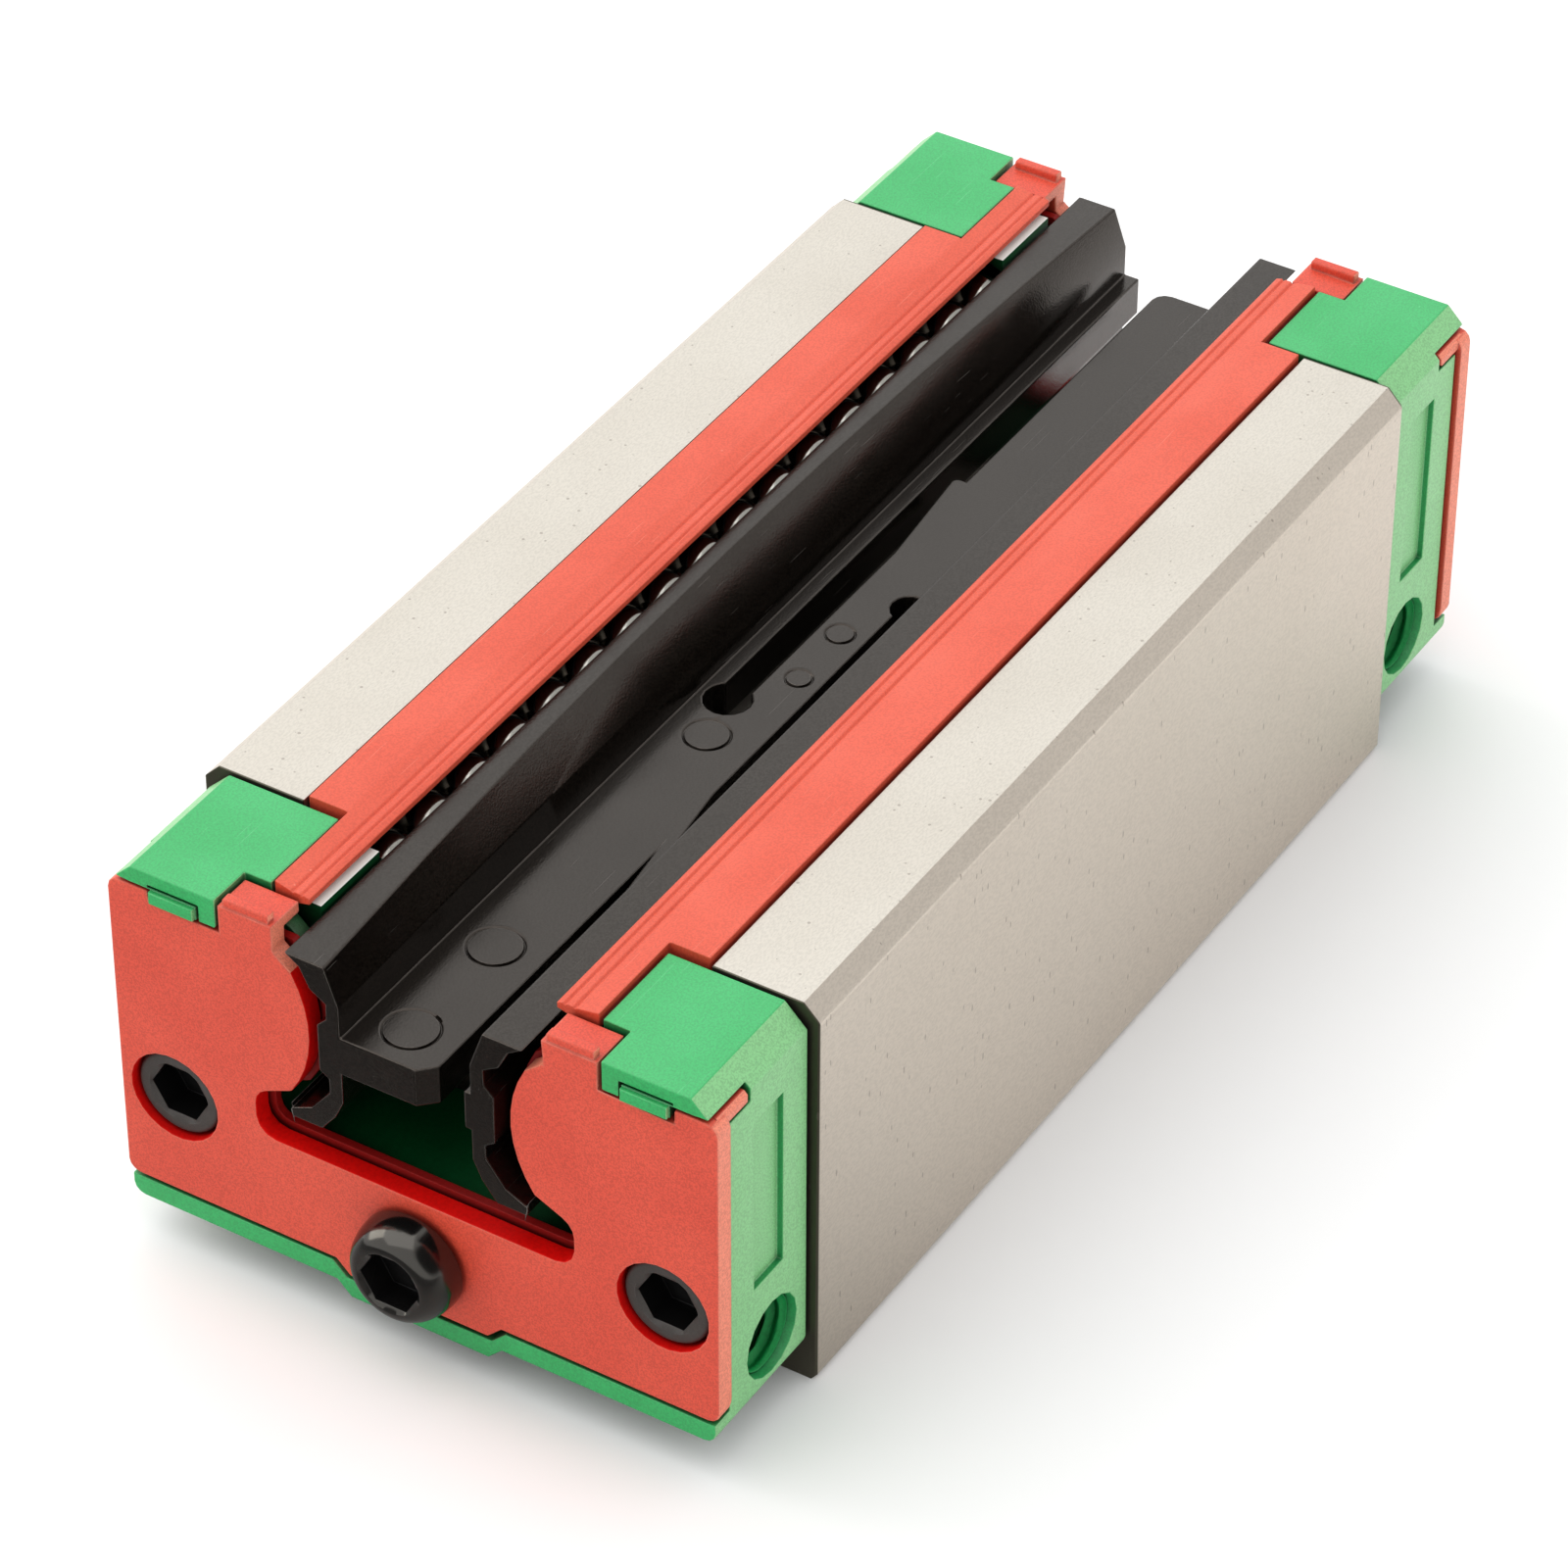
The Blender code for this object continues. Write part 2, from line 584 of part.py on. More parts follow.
def build_cap(name, carrier, middle, parts, cutters):
    """Return the moulded ball return cap of the rear end."""
    tab = TAB_WIDTH / 2
    rim = rounded([(-OVERCUT, BLOCK_HEIGHT, 0), (HALF_CAP - CAP_CHAMFER, BLOCK_HEIGHT, 0),
                   (HALF_CAP, BLOCK_HEIGHT - CAP_CHAMFER, 0), (HALF_CAP, CAP_FOOT_Z, CAP_CORNER),
                   (tab + TAB_DROP, CAP_FOOT_Z, 0), (tab, CAP_FOOT_Z - TAB_DROP, 0),
                   (-OVERCUT, CAP_FOOT_Z - TAB_DROP, 0)])
    cap = mirror(extruded(name, [rim], "X", (CAP_BACK, CAP_FRONT), parts), middle, bisect=True)
    beyond = CAP_FRONT + OVERCUT
    behind = CAP_BACK - OVERCUT
    above = BLOCK_HEIGHT + OVERCUT

    rim = [(-OVERCUT, above), (FLANGE_Y + GAP, above)] + plate_line(GAP)[1:]
    pocket = extruded("plate_pocket", [rim], "X", (PLATE_SEAT, beyond), cutters)
    cut(cap, mirror(pocket, middle, bisect=True))

    shelf_z = STRIP_FOOT_Z - GAP
    below = [point for point in opening_line(1.5 * GAP) if point[1] < shelf_z - GAP]
    rim = [(-OVERCUT, above), (CAP_MOUTH_Y, above), (CAP_MOUTH_Y, shelf_z)] + below
    rim.append((-OVERCUT, below[-1][1]))
    channel = extruded("rail_channel", [rim], "X", (behind, beyond), cutters)
    cut(cap, mirror(channel, middle, bisect=True))

    edge = opening_line(RUBBER_BAND - RUBBER_OVERLAP + GAP)
    rim = [(-OVERCUT, above), (edge[0][0], above)] + edge[1:] + [(-OVERCUT, edge[-1][1])]
    recess = extruded("lip_recess", [rim], "X", (PLATE_SEAT - RUBBER_THICKNESS - GAP, beyond), cutters)
    cut(cap, mirror(recess, middle, bisect=True))

    arm_y = FLANGE_Y + GAP
    cut(cap, box("flange_pocket", (FLANGE_END - GAP, beyond), (-arm_y, arm_y),
                 (FLANGE_TOP_Z - FLANGE_THICKNESS - GAP, above), cutters))
    guide_y = GUIDE_OUTER_Y + GAP
    cut(cap, box("guide_pocket", (behind, CAP_BACK + GUIDE_REACH + GAP), (-guide_y, guide_y),
                 (GUIDE_FOOT_Z - GAP, GUIDE_TOP_Z + GAP), cutters))

    hole = SCREW_SHANK / 2 + GAP
    place = (SCREW_Y, SCREW_Z)
    cut(cap, mirror(drilled("screw_holes", "X", (behind, beyond), (hole, hole), place, cutters), middle))
    head = SCREW_HEAD / 2 + GAP
    seat = CAP_FRONT - SCREW_SINK - SCREW_HEAD_HEIGHT - GAP
    cut(cap, mirror(drilled("screw_seats", "X", (seat, beyond), (head, head), place, cutters), middle))
    port = PLUG_SHANK / 2 + GAP
    cut(cap, drilled("end_port", "X", (CAP_FRONT - PLUG_LENGTH - GAP, beyond), (port, port),
                     (0, PLUG_Z), cutters))

    panel_x = CAP_BACK + PANEL_OUT
    panel_z = BLOCK_HEIGHT - PANEL_DROP
    panel = box("side_panels", (panel_x - PANEL_LENGTH / 2, panel_x + PANEL_LENGTH / 2),
                (HALF_CAP - PANEL_DEPTH, HALF_CAP + OVERCUT),
                (panel_z - PANEL_HEIGHT / 2, panel_z + PANEL_HEIGHT / 2), cutters)
    cut(cap, mirror(panel, middle))
    place = (CAP_BACK + SIDE_PORT_OUT, BLOCK_HEIGHT - SIDE_PORT_DROP)
    bore = SIDE_PORT_BORE / 2
    sink = SIDE_PORT_SINK / 2
    side_port = drilled("side_ports", "Y", (HALF_CAP - SIDE_PORT_DEPTH, HALF_CAP + OVERCUT), (bore, bore),
                        place, cutters)
    cut(cap, mirror(side_port, middle))
    depth = sink - bore
    port_sink = drilled("side_port_sinks", "Y", (HALF_CAP - depth, HALF_CAP + depth), (bore, sink + depth),
                        place, cutters)
    cut(cap, mirror(port_sink, middle))
    slot = box("hook_slots", (CAP_FRONT - HOOK_REACH - GAP, beyond),
               (PLATE_Y - HOOK_DEPTH - GAP, HALF_CAP + OVERCUT),
               (PLATE_TOP_Z - HOOK_DROP - GAP, PLATE_TOP_Z + HOOK_RISE + GAP), cutters)
    cut(cap, mirror(slot, middle))
    cut_tongue(cap, middle, cutters)
    return dress(settle(cap), carrier, GREEN, 0.0, 0.45)


def cut_tongue(cap, middle, cutters):
    """Free the tongue under each lip of the rear cap by a thin slit, and draw it out of the face."""
    inner = TONGUE_Y - TONGUE_LENGTH / 2
    outer = TONGUE_Y + TONGUE_LENGTH / 2
    low = NOTCH_Z - GAP
    roof_z = BLOCK_HEIGHT - ROOF_THICKNESS
    top_z = roof_z - TONGUE_SLIT
    rim = [(inner - TONGUE_SLIT, low), (inner - TONGUE_SLIT, roof_z), (outer + TONGUE_SLIT, roof_z),
           (outer + TONGUE_SLIT, top_z), (inner, top_z), (inner, low)]
    slit = extruded("tongue_slits", [rim], "X", (PLATE_BACK + GAP, CAP_FRONT + OVERCUT), cutters)
    cut(cap, mirror(slit, middle))
    edge = MERGE * 5
    tongue = box("tongues", (PLATE_BACK + GAP, CAP_FRONT + TONGUE_REACH), (inner + edge, outer - edge),
                 (NOTCH_Z + GAP + edge, top_z - edge), cutters)
    cut(cap, mirror(tongue, middle), "UNION")


def build_seal_plate(name, carrier, middle, parts, cutters):
    """Return the rear seal plate with its two mouth flanges and corner hooks."""
    mouth = opening_line(0)
    rim = plate_line(0) + [(-OVERCUT, mouth[-1][1])] + mouth[::-1]
    hole = circle((SCREW_Y, SCREW_Z), SCREW_HEAD / 2 + GAP, 24)
    plate = extruded(name, [rim, hole], "X", (PLATE_BACK, CAP_FRONT), parts)
    mirror(plate, middle, bisect=True)
    bend = CAP_FRONT - PLATE_THICKNESS / 2
    flange = box("mouth_flanges", (FLANGE_END, bend), (mouth[0][0], FLANGE_Y),
                 (FLANGE_TOP_Z - FLANGE_THICKNESS, FLANGE_TOP_Z), cutters)
    cut(plate, mirror(flange, middle), "UNION")
    rim_end = CAP_FRONT - GAP / 2
    ridge = box("flange_rims", (rim_end - FLANGE_RIM, rim_end), (mouth[0][0] + GAP, FLANGE_Y - GAP),
                (FLANGE_TOP_Z - GAP, STRIP_TOP_Z), cutters)
    cut(plate, mirror(ridge, middle), "UNION")
    outer = PLATE_Y - GAP
    high = PLATE_TOP_Z + HOOK_RISE
    section = [(PLATE_Y - HOOK_DEPTH, PLATE_TOP_Z - HOOK_DROP), (outer, PLATE_TOP_Z - HOOK_DROP),
               (outer, high - HOOK_DEPTH / 2), (outer - HOOK_DEPTH / 2, high), (PLATE_Y - HOOK_DEPTH, high)]
    hook = extruded("corner_hooks", [section], "X", (CAP_FRONT - HOOK_REACH, bend), cutters)
    cut(plate, mirror(hook, middle), "UNION")
    port = PLUG_SHANK / 2 + GAP
    cut(plate, drilled("plate_port", "X", (PLATE_BACK - OVERCUT, CAP_FRONT + OVERCUT), (port, port),
                       (0, PLUG_Z), cutters))
    return dress(settle(plate), carrier, RED, 0.0, 0.5)


def build_seal_lip(name, carrier, middle, parts):
    """Return the thin rubber lip that follows the rail opening behind the rear seal plate."""
    under_flange = FLANGE_TOP_Z - FLANGE_THICKNESS - GAP
    inner = [point for point in opening_line(-RUBBER_OVERLAP) if point[1] < under_flange]
    outer = [point for point in opening_line(RUBBER_BAND - RUBBER_OVERLAP) if point[1] < under_flange]
    rim = inner + [(-OVERCUT, inner[-1][1]), (-OVERCUT, outer[-1][1])] + outer[::-1]
    lip = extruded(name, [rim], "X", (PLATE_SEAT - RUBBER_THICKNESS, PLATE_SEAT), parts)
    mirror(lip, middle, bisect=True)
    return dress(settle(lip), carrier, DARK_RED, 0.0, 0.6)


def build_return_guide(name, carrier, parts, cutters):
    """Return the rear left white insert that turns two ball rows round inside a cap."""
    guide = box(name, (CAP_BACK + GAP, CAP_BACK + GUIDE_REACH), (GUIDE_INNER_Y, GUIDE_OUTER_Y),
                (GUIDE_FOOT_Z, GUIDE_TOP_Z), parts)
    sides = 4 + 2 * TRACK_BEVEL
    depth = TRACK_RADIUS / math.cos(math.pi / sides)
    turn = arc((CAP_BACK, TURN_Y), TURN_RADIUS, -math.pi / 2, math.pi / 2, TURN_STEPS)
    path = [(CAP_BACK - OVERCUT, turn[0][1])] + turn + [(CAP_BACK - OVERCUT, turn[-1][1])]
    for row, row_z in (("upper", UPPER_ROW_Z), ("lower", LOWER_ROW_Z)):
        places = [(x, y, row_z) for x, y in path]
        track = tube_along(row + "_track", places, [1] * len(path), depth, TRACK_BEVEL, False, cutters,
                           (CAP_BACK, TURN_Y, row_z))
        cut(guide, track)
    return dress(settle(guide), carrier, WHITE, 0.0, 0.4)


def build_seal_strip(name, carrier, parts, cutters):
    """Return the left seal strip that closes the gap beside the rail."""
    outer = MOUTH_Y - GAP
    flat_z = BLOCK_HEIGHT
    flat_y = BALL_ROW_Y - STRIP_FLAT_STEP
    half = STRIP_GROOVE / 2
    edge_groove = STRIP_INNER_Y + 2 * STRIP_GROOVE
    rim = [(outer, STRIP_FOOT_Z), (outer, STRIP_TOP_Z), (BALL_ROW_Y + STRIP_SLOPE_STEP, STRIP_TOP_Z)]
    for groove_y in (flat_y - half, edge_groove):
        rim += [(groove_y + half, flat_z), (groove_y, flat_z - half), (groove_y - half, flat_z)]
    rim += [(STRIP_INNER_Y, flat_z - half), (STRIP_INNER_Y, flat_z - STRIP_EDGE_THICKNESS),
            (flat_y, STRIP_FOOT_Z)]
    reach = FLANGE_END - GAP
    strip = extruded(name, [rim], "X", (-reach, reach), parts)
    for end in (-1, 1):
        notch = box("strip_notch", (end * (HALF_BLOCK - GAP), end * (reach + OVERCUT)),
                    (CAP_MOUTH_Y - GAP, MOUTH_Y + OVERCUT),
                    (STRIP_FOOT_Z - OVERCUT, STRIP_TOP_Z + OVERCUT), cutters)
        cut(strip, notch)
    return dress(settle(strip), carrier, RED, 0.0, 0.5)


def build_upper_retainer(name, carrier, parts):
    """Return the thin left strip that keeps the upper ball row in its groove."""
    reach = HALF_BLOCK - GAP
    retainer = box(name, (-reach, reach), (BALL_ROW_Y + 2 * GAP, MOUTH_Y - GAP),
                   (LEDGE_Z + GAP, STRIP_FOOT_Z - GAP), parts)
    return dress(retainer, carrier, WHITE, 0.0, 0.4)


def build_lower_retainer(name, carrier, parts):
    """Return the left bar that keeps the lower ball row in its groove."""
    outer = WALL_Y - GAP
    inner = BALL_ROW_Y + 3 * GAP
    low = CHANNEL_Z + GAP
    reach = math.sqrt(TRACK_RADIUS ** 2 - (inner - BALL_ROW_Y) ** 2)
    high = LOWER_ROW_Z - reach - GAP
    rim = [(inner, low), (outer - CHANNEL_CHAMFER, low), (outer, low + CHANNEL_CHAMFER),
           (outer, high + CHANNEL_CHAMFER), (inner, high)]
    retainer = extruded(name, [rim], "X", (-HALF_BLOCK + GAP, HALF_BLOCK - GAP), parts)
    return dress(retainer, carrier, BLACK_RAIL, 0.0, 0.5)


def hex_socket(name, across_flats, depth, group):
    """Return the cutter of a hexagon socket that opens at z = 0."""
    bm = bmesh.new()
    radius = across_flats / 2 / math.cos(math.pi / 6)
    bmesh.ops.create_cone(bm, cap_ends=True, segments=6, radius1=radius, radius2=radius,
                          depth=depth + OVERCUT)
    return object_from(name, bm, group, (0, 0, (OVERCUT - depth) / 2))


def build_screw(name, profile, hex_size, hex_depth, place, parts, cutters):
    """Return a turned screw with a hexagon socket, moved so that its head points out of the rear end."""
    screw = turned(name, profile, SCREW_SIDES, parts)
    cut(screw, hex_socket(name + "_socket", hex_size, hex_depth, cutters))
    settle(screw)
    screw.rotation_euler = (0, math.pi / 2, 0)
    screw.location = place
    return screw


def build_end_screw(name, carrier, parts, cutters):
    """Return the rear left low head screw that holds a cap to the carriage."""
    face = CAP_FRONT - SCREW_SINK
    shank = SCREW_SHANK / 2
    head = SCREW_HEAD / 2
    seat = -SCREW_HEAD_HEIGHT
    tip = HALF_BLOCK - SCREW_GRIP + GAP - face
    profile = [(0, 0), (head - GAP, 0), (head, -GAP), (head, seat), (shank, seat), (shank, tip + GAP),
               (shank - GAP, tip), (0, tip)]
    screw = build_screw(name, profile, SCREW_HEX, SCREW_HEX_DEPTH, (face, SCREW_Y, SCREW_Z), parts, cutters)
    return dress(screw, carrier, BLACK, 0.6, 0.4)


def build_port_plug(name, carrier, parts, cutters):
    """Return the button head screw that plugs the rear grease port."""
    crown = CAP_FRONT + GAP + PLUG_HEAD_HEIGHT
    shank = PLUG_SHANK / 2
    rim = PLUG_HEAD / 2
    flat = PLUG_HEX / math.sqrt(3) + GAP
    seat = -PLUG_HEAD_HEIGHT
    tip = CAP_FRONT - PLUG_LENGTH - crown
    dome = [(flat + (rim - flat) * math.sin(angle), seat + PLUG_HEAD_HEIGHT * math.cos(angle))
            for angle in (math.radians(15 * i) for i in range(6))]
    profile = [(0, 0)] + dome + [(rim, seat + GAP), (rim - GAP, seat), (shank, seat), (shank, tip + GAP),
                                 (shank - GAP, tip), (0, tip)]
    plug = build_screw(name, profile, PLUG_HEX, PLUG_HEX_DEPTH, (crown, 0, PLUG_Z), parts, cutters)
    return dress(plug, carrier, BLACK, 0.3, 0.15)


def rail_section(along):
    """Return the shipping rail's section at a share of its length from the middle, -1 to 1."""
    bow = RAIL_BOW * (1 - along ** 2)
    step = RAIL_NECK_CUT
    neck = RAIL_NECK_Z
    left = [(RAIL_ARM_Y, RAIL_TOP_Z), (RAIL_ARM_Y - 1.5 * step, RAIL_TOP_Z - step),
            (RAIL_WAIST_Y + 0.6 * step, neck + 3.7 * step), (RAIL_NECK_Y, neck + 2.7 * step),
            (RAIL_NECK_Y, neck + step), (RAIL_WAIST_Y, neck),
            (RAIL_WAIST_Y, RAIL_UNDER_Z - step / 2), (RAIL_NECK_Y, RAIL_UNDER_Z - 1.2 * step),
            (RAIL_NECK_Y, RAIL_UNDER_Z - 2.7 * step), (RAIL_WAIST_Y + step, RAIL_FOOT_Z + 2 * step),
            (RAIL_ARM_Y, RAIL_FOOT_Z + step), (RAIL_TOE_Y, RAIL_FOOT_Z + 1.6 * step),
            (RAIL_ARM_Y, RAIL_FOOT_Z), (RAIL_WAIST_Y, RAIL_FOOT_Z),
            (RAIL_NECK_Y - step / 2, RAIL_FOOT_Z + 2 * step),
            (RAIL_INNER_Y, RAIL_FOOT_Z + 4 * step), (RAIL_INNER_Y, RAIL_UNDER_Z)]
    right = [(-y, z) for y, z in reversed(left)]
    ridge_z = RAIL_TOP_Z - RAIL_RIDGE_DROP
    inside = [(-RAIL_RIDGE_Y, RAIL_TOP_Z), (-RAIL_INNER_Y, ridge_z), (-RAIL_INNER_Y, RAIL_FLOOR_Z),
              (RAIL_INNER_Y, RAIL_FLOOR_Z), (RAIL_INNER_Y + 0.3 * bow, ridge_z),
              (RAIL_RIDGE_Y + bow, RAIL_TOP_Z)]
    return left + right + inside


def rail_body(group):
    """Return the rail as a loft, because its left arm bows outward between its ends."""
    bm = bmesh.new()
    layers = []
    for i in range(-4, 5):
        along = i / 4
        layers.append([bm.verts.new((along * RAIL_LENGTH / 2, *point)) for point in rail_section(along)])
    for here, there in zip(layers, layers[1:]):
        for i in range(len(here)):
            bm.faces.new((here[i - 1], there[i - 1], there[i], here[i]))
    bm.faces.new(layers[0])
    bm.faces.new(layers[-1])
    bmesh.ops.recalc_face_normals(bm, faces=bm.faces)
    return object_from("shipping_rail", bm, group, (RAIL_SHIFT, 0, 0))


def near_slit():
    """Return the slit beside the right arm at the rail's near end, open to the end and tapered inside."""
    end = RAIL_NEAR + NEAR_SLIT_END
    taper = end - SLIT_TAPER
    mouth = RAIL_NEAR - OVERCUT
    flare = FLOOR_RIGHT_Y + FLOOR_CORNER + OVERCUT
    return [(mouth, SLIT_Y), (taper - SLIT_WIDTH, SLIT_Y), (taper, FLOOR_RIGHT_Y - SLIT_TAPER_DEPTH),
            (end, FLOOR_RIGHT_Y), (RAIL_NEAR + FLOOR_CORNER, FLOOR_RIGHT_Y), (mouth, flare)]


def far_slit():
    """Return the slit beside the right arm in the rail's middle, tapered at its near end."""
    start = RAIL_NEAR + FAR_SLIT_START
    end = RAIL_NEAR + FAR_SLIT_END
    return [(start, FLOOR_RIGHT_Y - SLIT_TAPER_DEPTH), (start + SLIT_WIDTH, SLIT_Y), (end, SLIT_Y),
            (end, FLOOR_RIGHT_Y), (start + SLIT_TAPER, FLOOR_RIGHT_Y)]


def left_slot():
    """Return the long slot beside the left arm, which runs out of the rail's far end."""
    start = RAIL_NEAR + SLOT_START
    bump = RAIL_NEAR + SLOT_BUMP_START
    step = RAIL_NEAR + SLOT_BUMP_END
    end = RAIL_FAR - FLOOR_SHORTFALL
    return rounded([(start, LEDGE_Y, 0), (start, FLOOR_LEFT_Y, 0), (bump, FLOOR_LEFT_Y, 0),
                    (step, FLOOR_LEFT_Y + SLOT_BUMP, SLOT_BUMP / 2), (step, FLOOR_LEFT_Y, 0),
                    (end, FLOOR_LEFT_Y, FLOOR_CORNER), (end, SLIT_Y, 0), (RAIL_FAR + OVERCUT, SLIT_Y, 0),
                    (RAIL_FAR + OVERCUT, LEDGE_Y, 0)])


def build_shipping_rail(carrier, parts, cutters):
    """Return the moulded rail that holds the balls until the carriage is fitted."""
    rail = rail_body(parts)
    depth = (RAIL_UNDER_Z - OVERCUT, RAIL_FLOOR_Z + OVERCUT)
    for label, outline in (("near_slit", near_slit()), ("far_slit", far_slit()), ("left_slot", left_slot())):
        cut(rail, extruded(label, [outline], "Z", depth, cutters))
    for label, place, across, size in (
            ("right_keyhole", RAIL_NEAR + FAR_SLIT_END, FLOOR_RIGHT_Y - SLIT_TAPER_DEPTH, RIGHT_KEYHOLE),
            ("left_keyhole", RAIL_NEAR + SLOT_START, LEDGE_Y - SLOT_WIDTH / 2, LEFT_KEYHOLE)):
        cut(rail, drilled(label, "Z", depth, (size / 2, size / 2), (place, across), cutters))
    return dress(settle(rail), carrier, BLACK_RAIL, 0.0, 0.45)


def main():
    """Build every piece of the carriage and its shipping rail."""
    clear_scene()
    parts = new_collection("linear_guide")
    cutters = new_collection("cutters")
    middle = new_empty("middle", cutters)
    carriage = new_empty("carriage", parts)
    rail = new_empty("rail", parts)

    build_block(carriage, middle, parts, cutters)
    ends = [build_cap("rear_end_cap", carriage, middle, parts, cutters),
            build_seal_plate("rear_end_seal", carriage, middle, parts, cutters),
            build_seal_lip("rear_seal_lip", carriage, middle, parts),
            build_port_plug("rear_port_plug", carriage, parts, cutters)]
    for piece in ends:
        turned_copy(piece, piece.name.replace("rear", "front"), parts)

    rows = (0, 0, ROWS_Z)
    guide = build_return_guide("rear_left_return_guide", carriage, parts, cutters)
    screw = build_end_screw("rear_left_end_screw", carriage, parts, cutters)
    for piece, label in ((guide, "return_guide"), (screw, "end_screw")):
        turned_copy(piece, "front_right_" + label, parts)
    turned_copy(guide, "front_left_return_guide", parts, "Y", rows)
    turned_copy(guide, "rear_right_return_guide", parts, "X", rows)
    turned_copy(screw, "front_left_end_screw", parts, "Y", (0, 0, SCREW_Z))
    turned_copy(screw, "rear_right_end_screw", parts, "X", (0, 0, SCREW_Z))

    sides = [build_seal_strip("left_seal_strip", carriage, parts, cutters),
             build_upper_retainer("left_upper_retainer", carriage, parts),
             build_lower_retainer("left_lower_retainer", carriage, parts)]
    for row, row_z in (("upper", UPPER_ROW_Z), ("lower", LOWER_ROW_Z)):
        sides.append(build_ball_circuit("left_" + row + "_ball_row", row_z, carriage, parts))
        sides.append(build_return_tube("left_" + row + "_return_tube", row_z, carriage, parts))
    for piece in sides:
        turned_copy(piece, piece.name.replace("left", "right"), parts)

    build_shipping_rail(rail, parts, cutters)


main()
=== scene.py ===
"""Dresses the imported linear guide: finishes, fine pieces, studio and camera.

Lengths are in metres in the part's own frame. X runs along the travel, +Y is the left side,
+Z points away from the mounting face, and the near end is the one at -X.
"""
import logging
import math
from dataclasses import dataclass, field
from enum import Enum
from typing import Callable, Iterable, Optional, Sequence, Union

import bmesh
import bpy
from mathutils import Matrix, Vector
from mathutils.kdtree import KDTree


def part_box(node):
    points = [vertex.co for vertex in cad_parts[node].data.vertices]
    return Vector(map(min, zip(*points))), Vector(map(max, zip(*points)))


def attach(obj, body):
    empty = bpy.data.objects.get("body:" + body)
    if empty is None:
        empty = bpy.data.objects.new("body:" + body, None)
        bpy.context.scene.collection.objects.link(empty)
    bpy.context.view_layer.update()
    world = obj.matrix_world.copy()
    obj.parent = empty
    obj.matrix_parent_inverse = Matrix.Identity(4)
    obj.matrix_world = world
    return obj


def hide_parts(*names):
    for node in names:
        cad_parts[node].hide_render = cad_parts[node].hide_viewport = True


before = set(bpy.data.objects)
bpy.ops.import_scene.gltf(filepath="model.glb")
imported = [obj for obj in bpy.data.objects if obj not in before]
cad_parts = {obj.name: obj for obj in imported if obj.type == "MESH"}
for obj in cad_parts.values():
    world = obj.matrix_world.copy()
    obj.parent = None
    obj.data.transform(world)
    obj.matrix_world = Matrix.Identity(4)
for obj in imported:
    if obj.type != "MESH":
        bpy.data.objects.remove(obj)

LOG = logging.getLogger("linear_guide")
MM = 0.001
WELD = 1e-6
SMOOTH_ANGLE = 31.0      # degrees, edges that turn more are shaded sharp
RIDGE_ANGLE = 15.0       # degrees, the same for the steel and the rail, whose edges are crisp
ENDS = ("front", "rear")
SIDES = ("left", "right")
LEVELS = ("upper", "lower")

Point = tuple[float, float, float]
Colour = tuple[float, float, float]
Socket = bpy.types.NodeSocket
Feed = Union[Socket, float, Point]


class Body(Enum):
    """The two bodies of the linear guide."""

    CARRIAGE = "carriage"
    RAIL = "rail"


class Slot(Enum):
    """The record's material slots."""

    STEEL = "steel"
    GREEN_CAP = "green_cap"
    RED_SEAL = "red_seal"
    SEAL_RUBBER = "seal_rubber"
    WHITE_GUIDE = "white_guide"
    BLACK_SCREW = "black_screw"
    PLUG_STEEL = "plug_steel"
    BLACK_RAIL = "black_rail"
    BALL_STEEL = "ball_steel"


# Node graphs

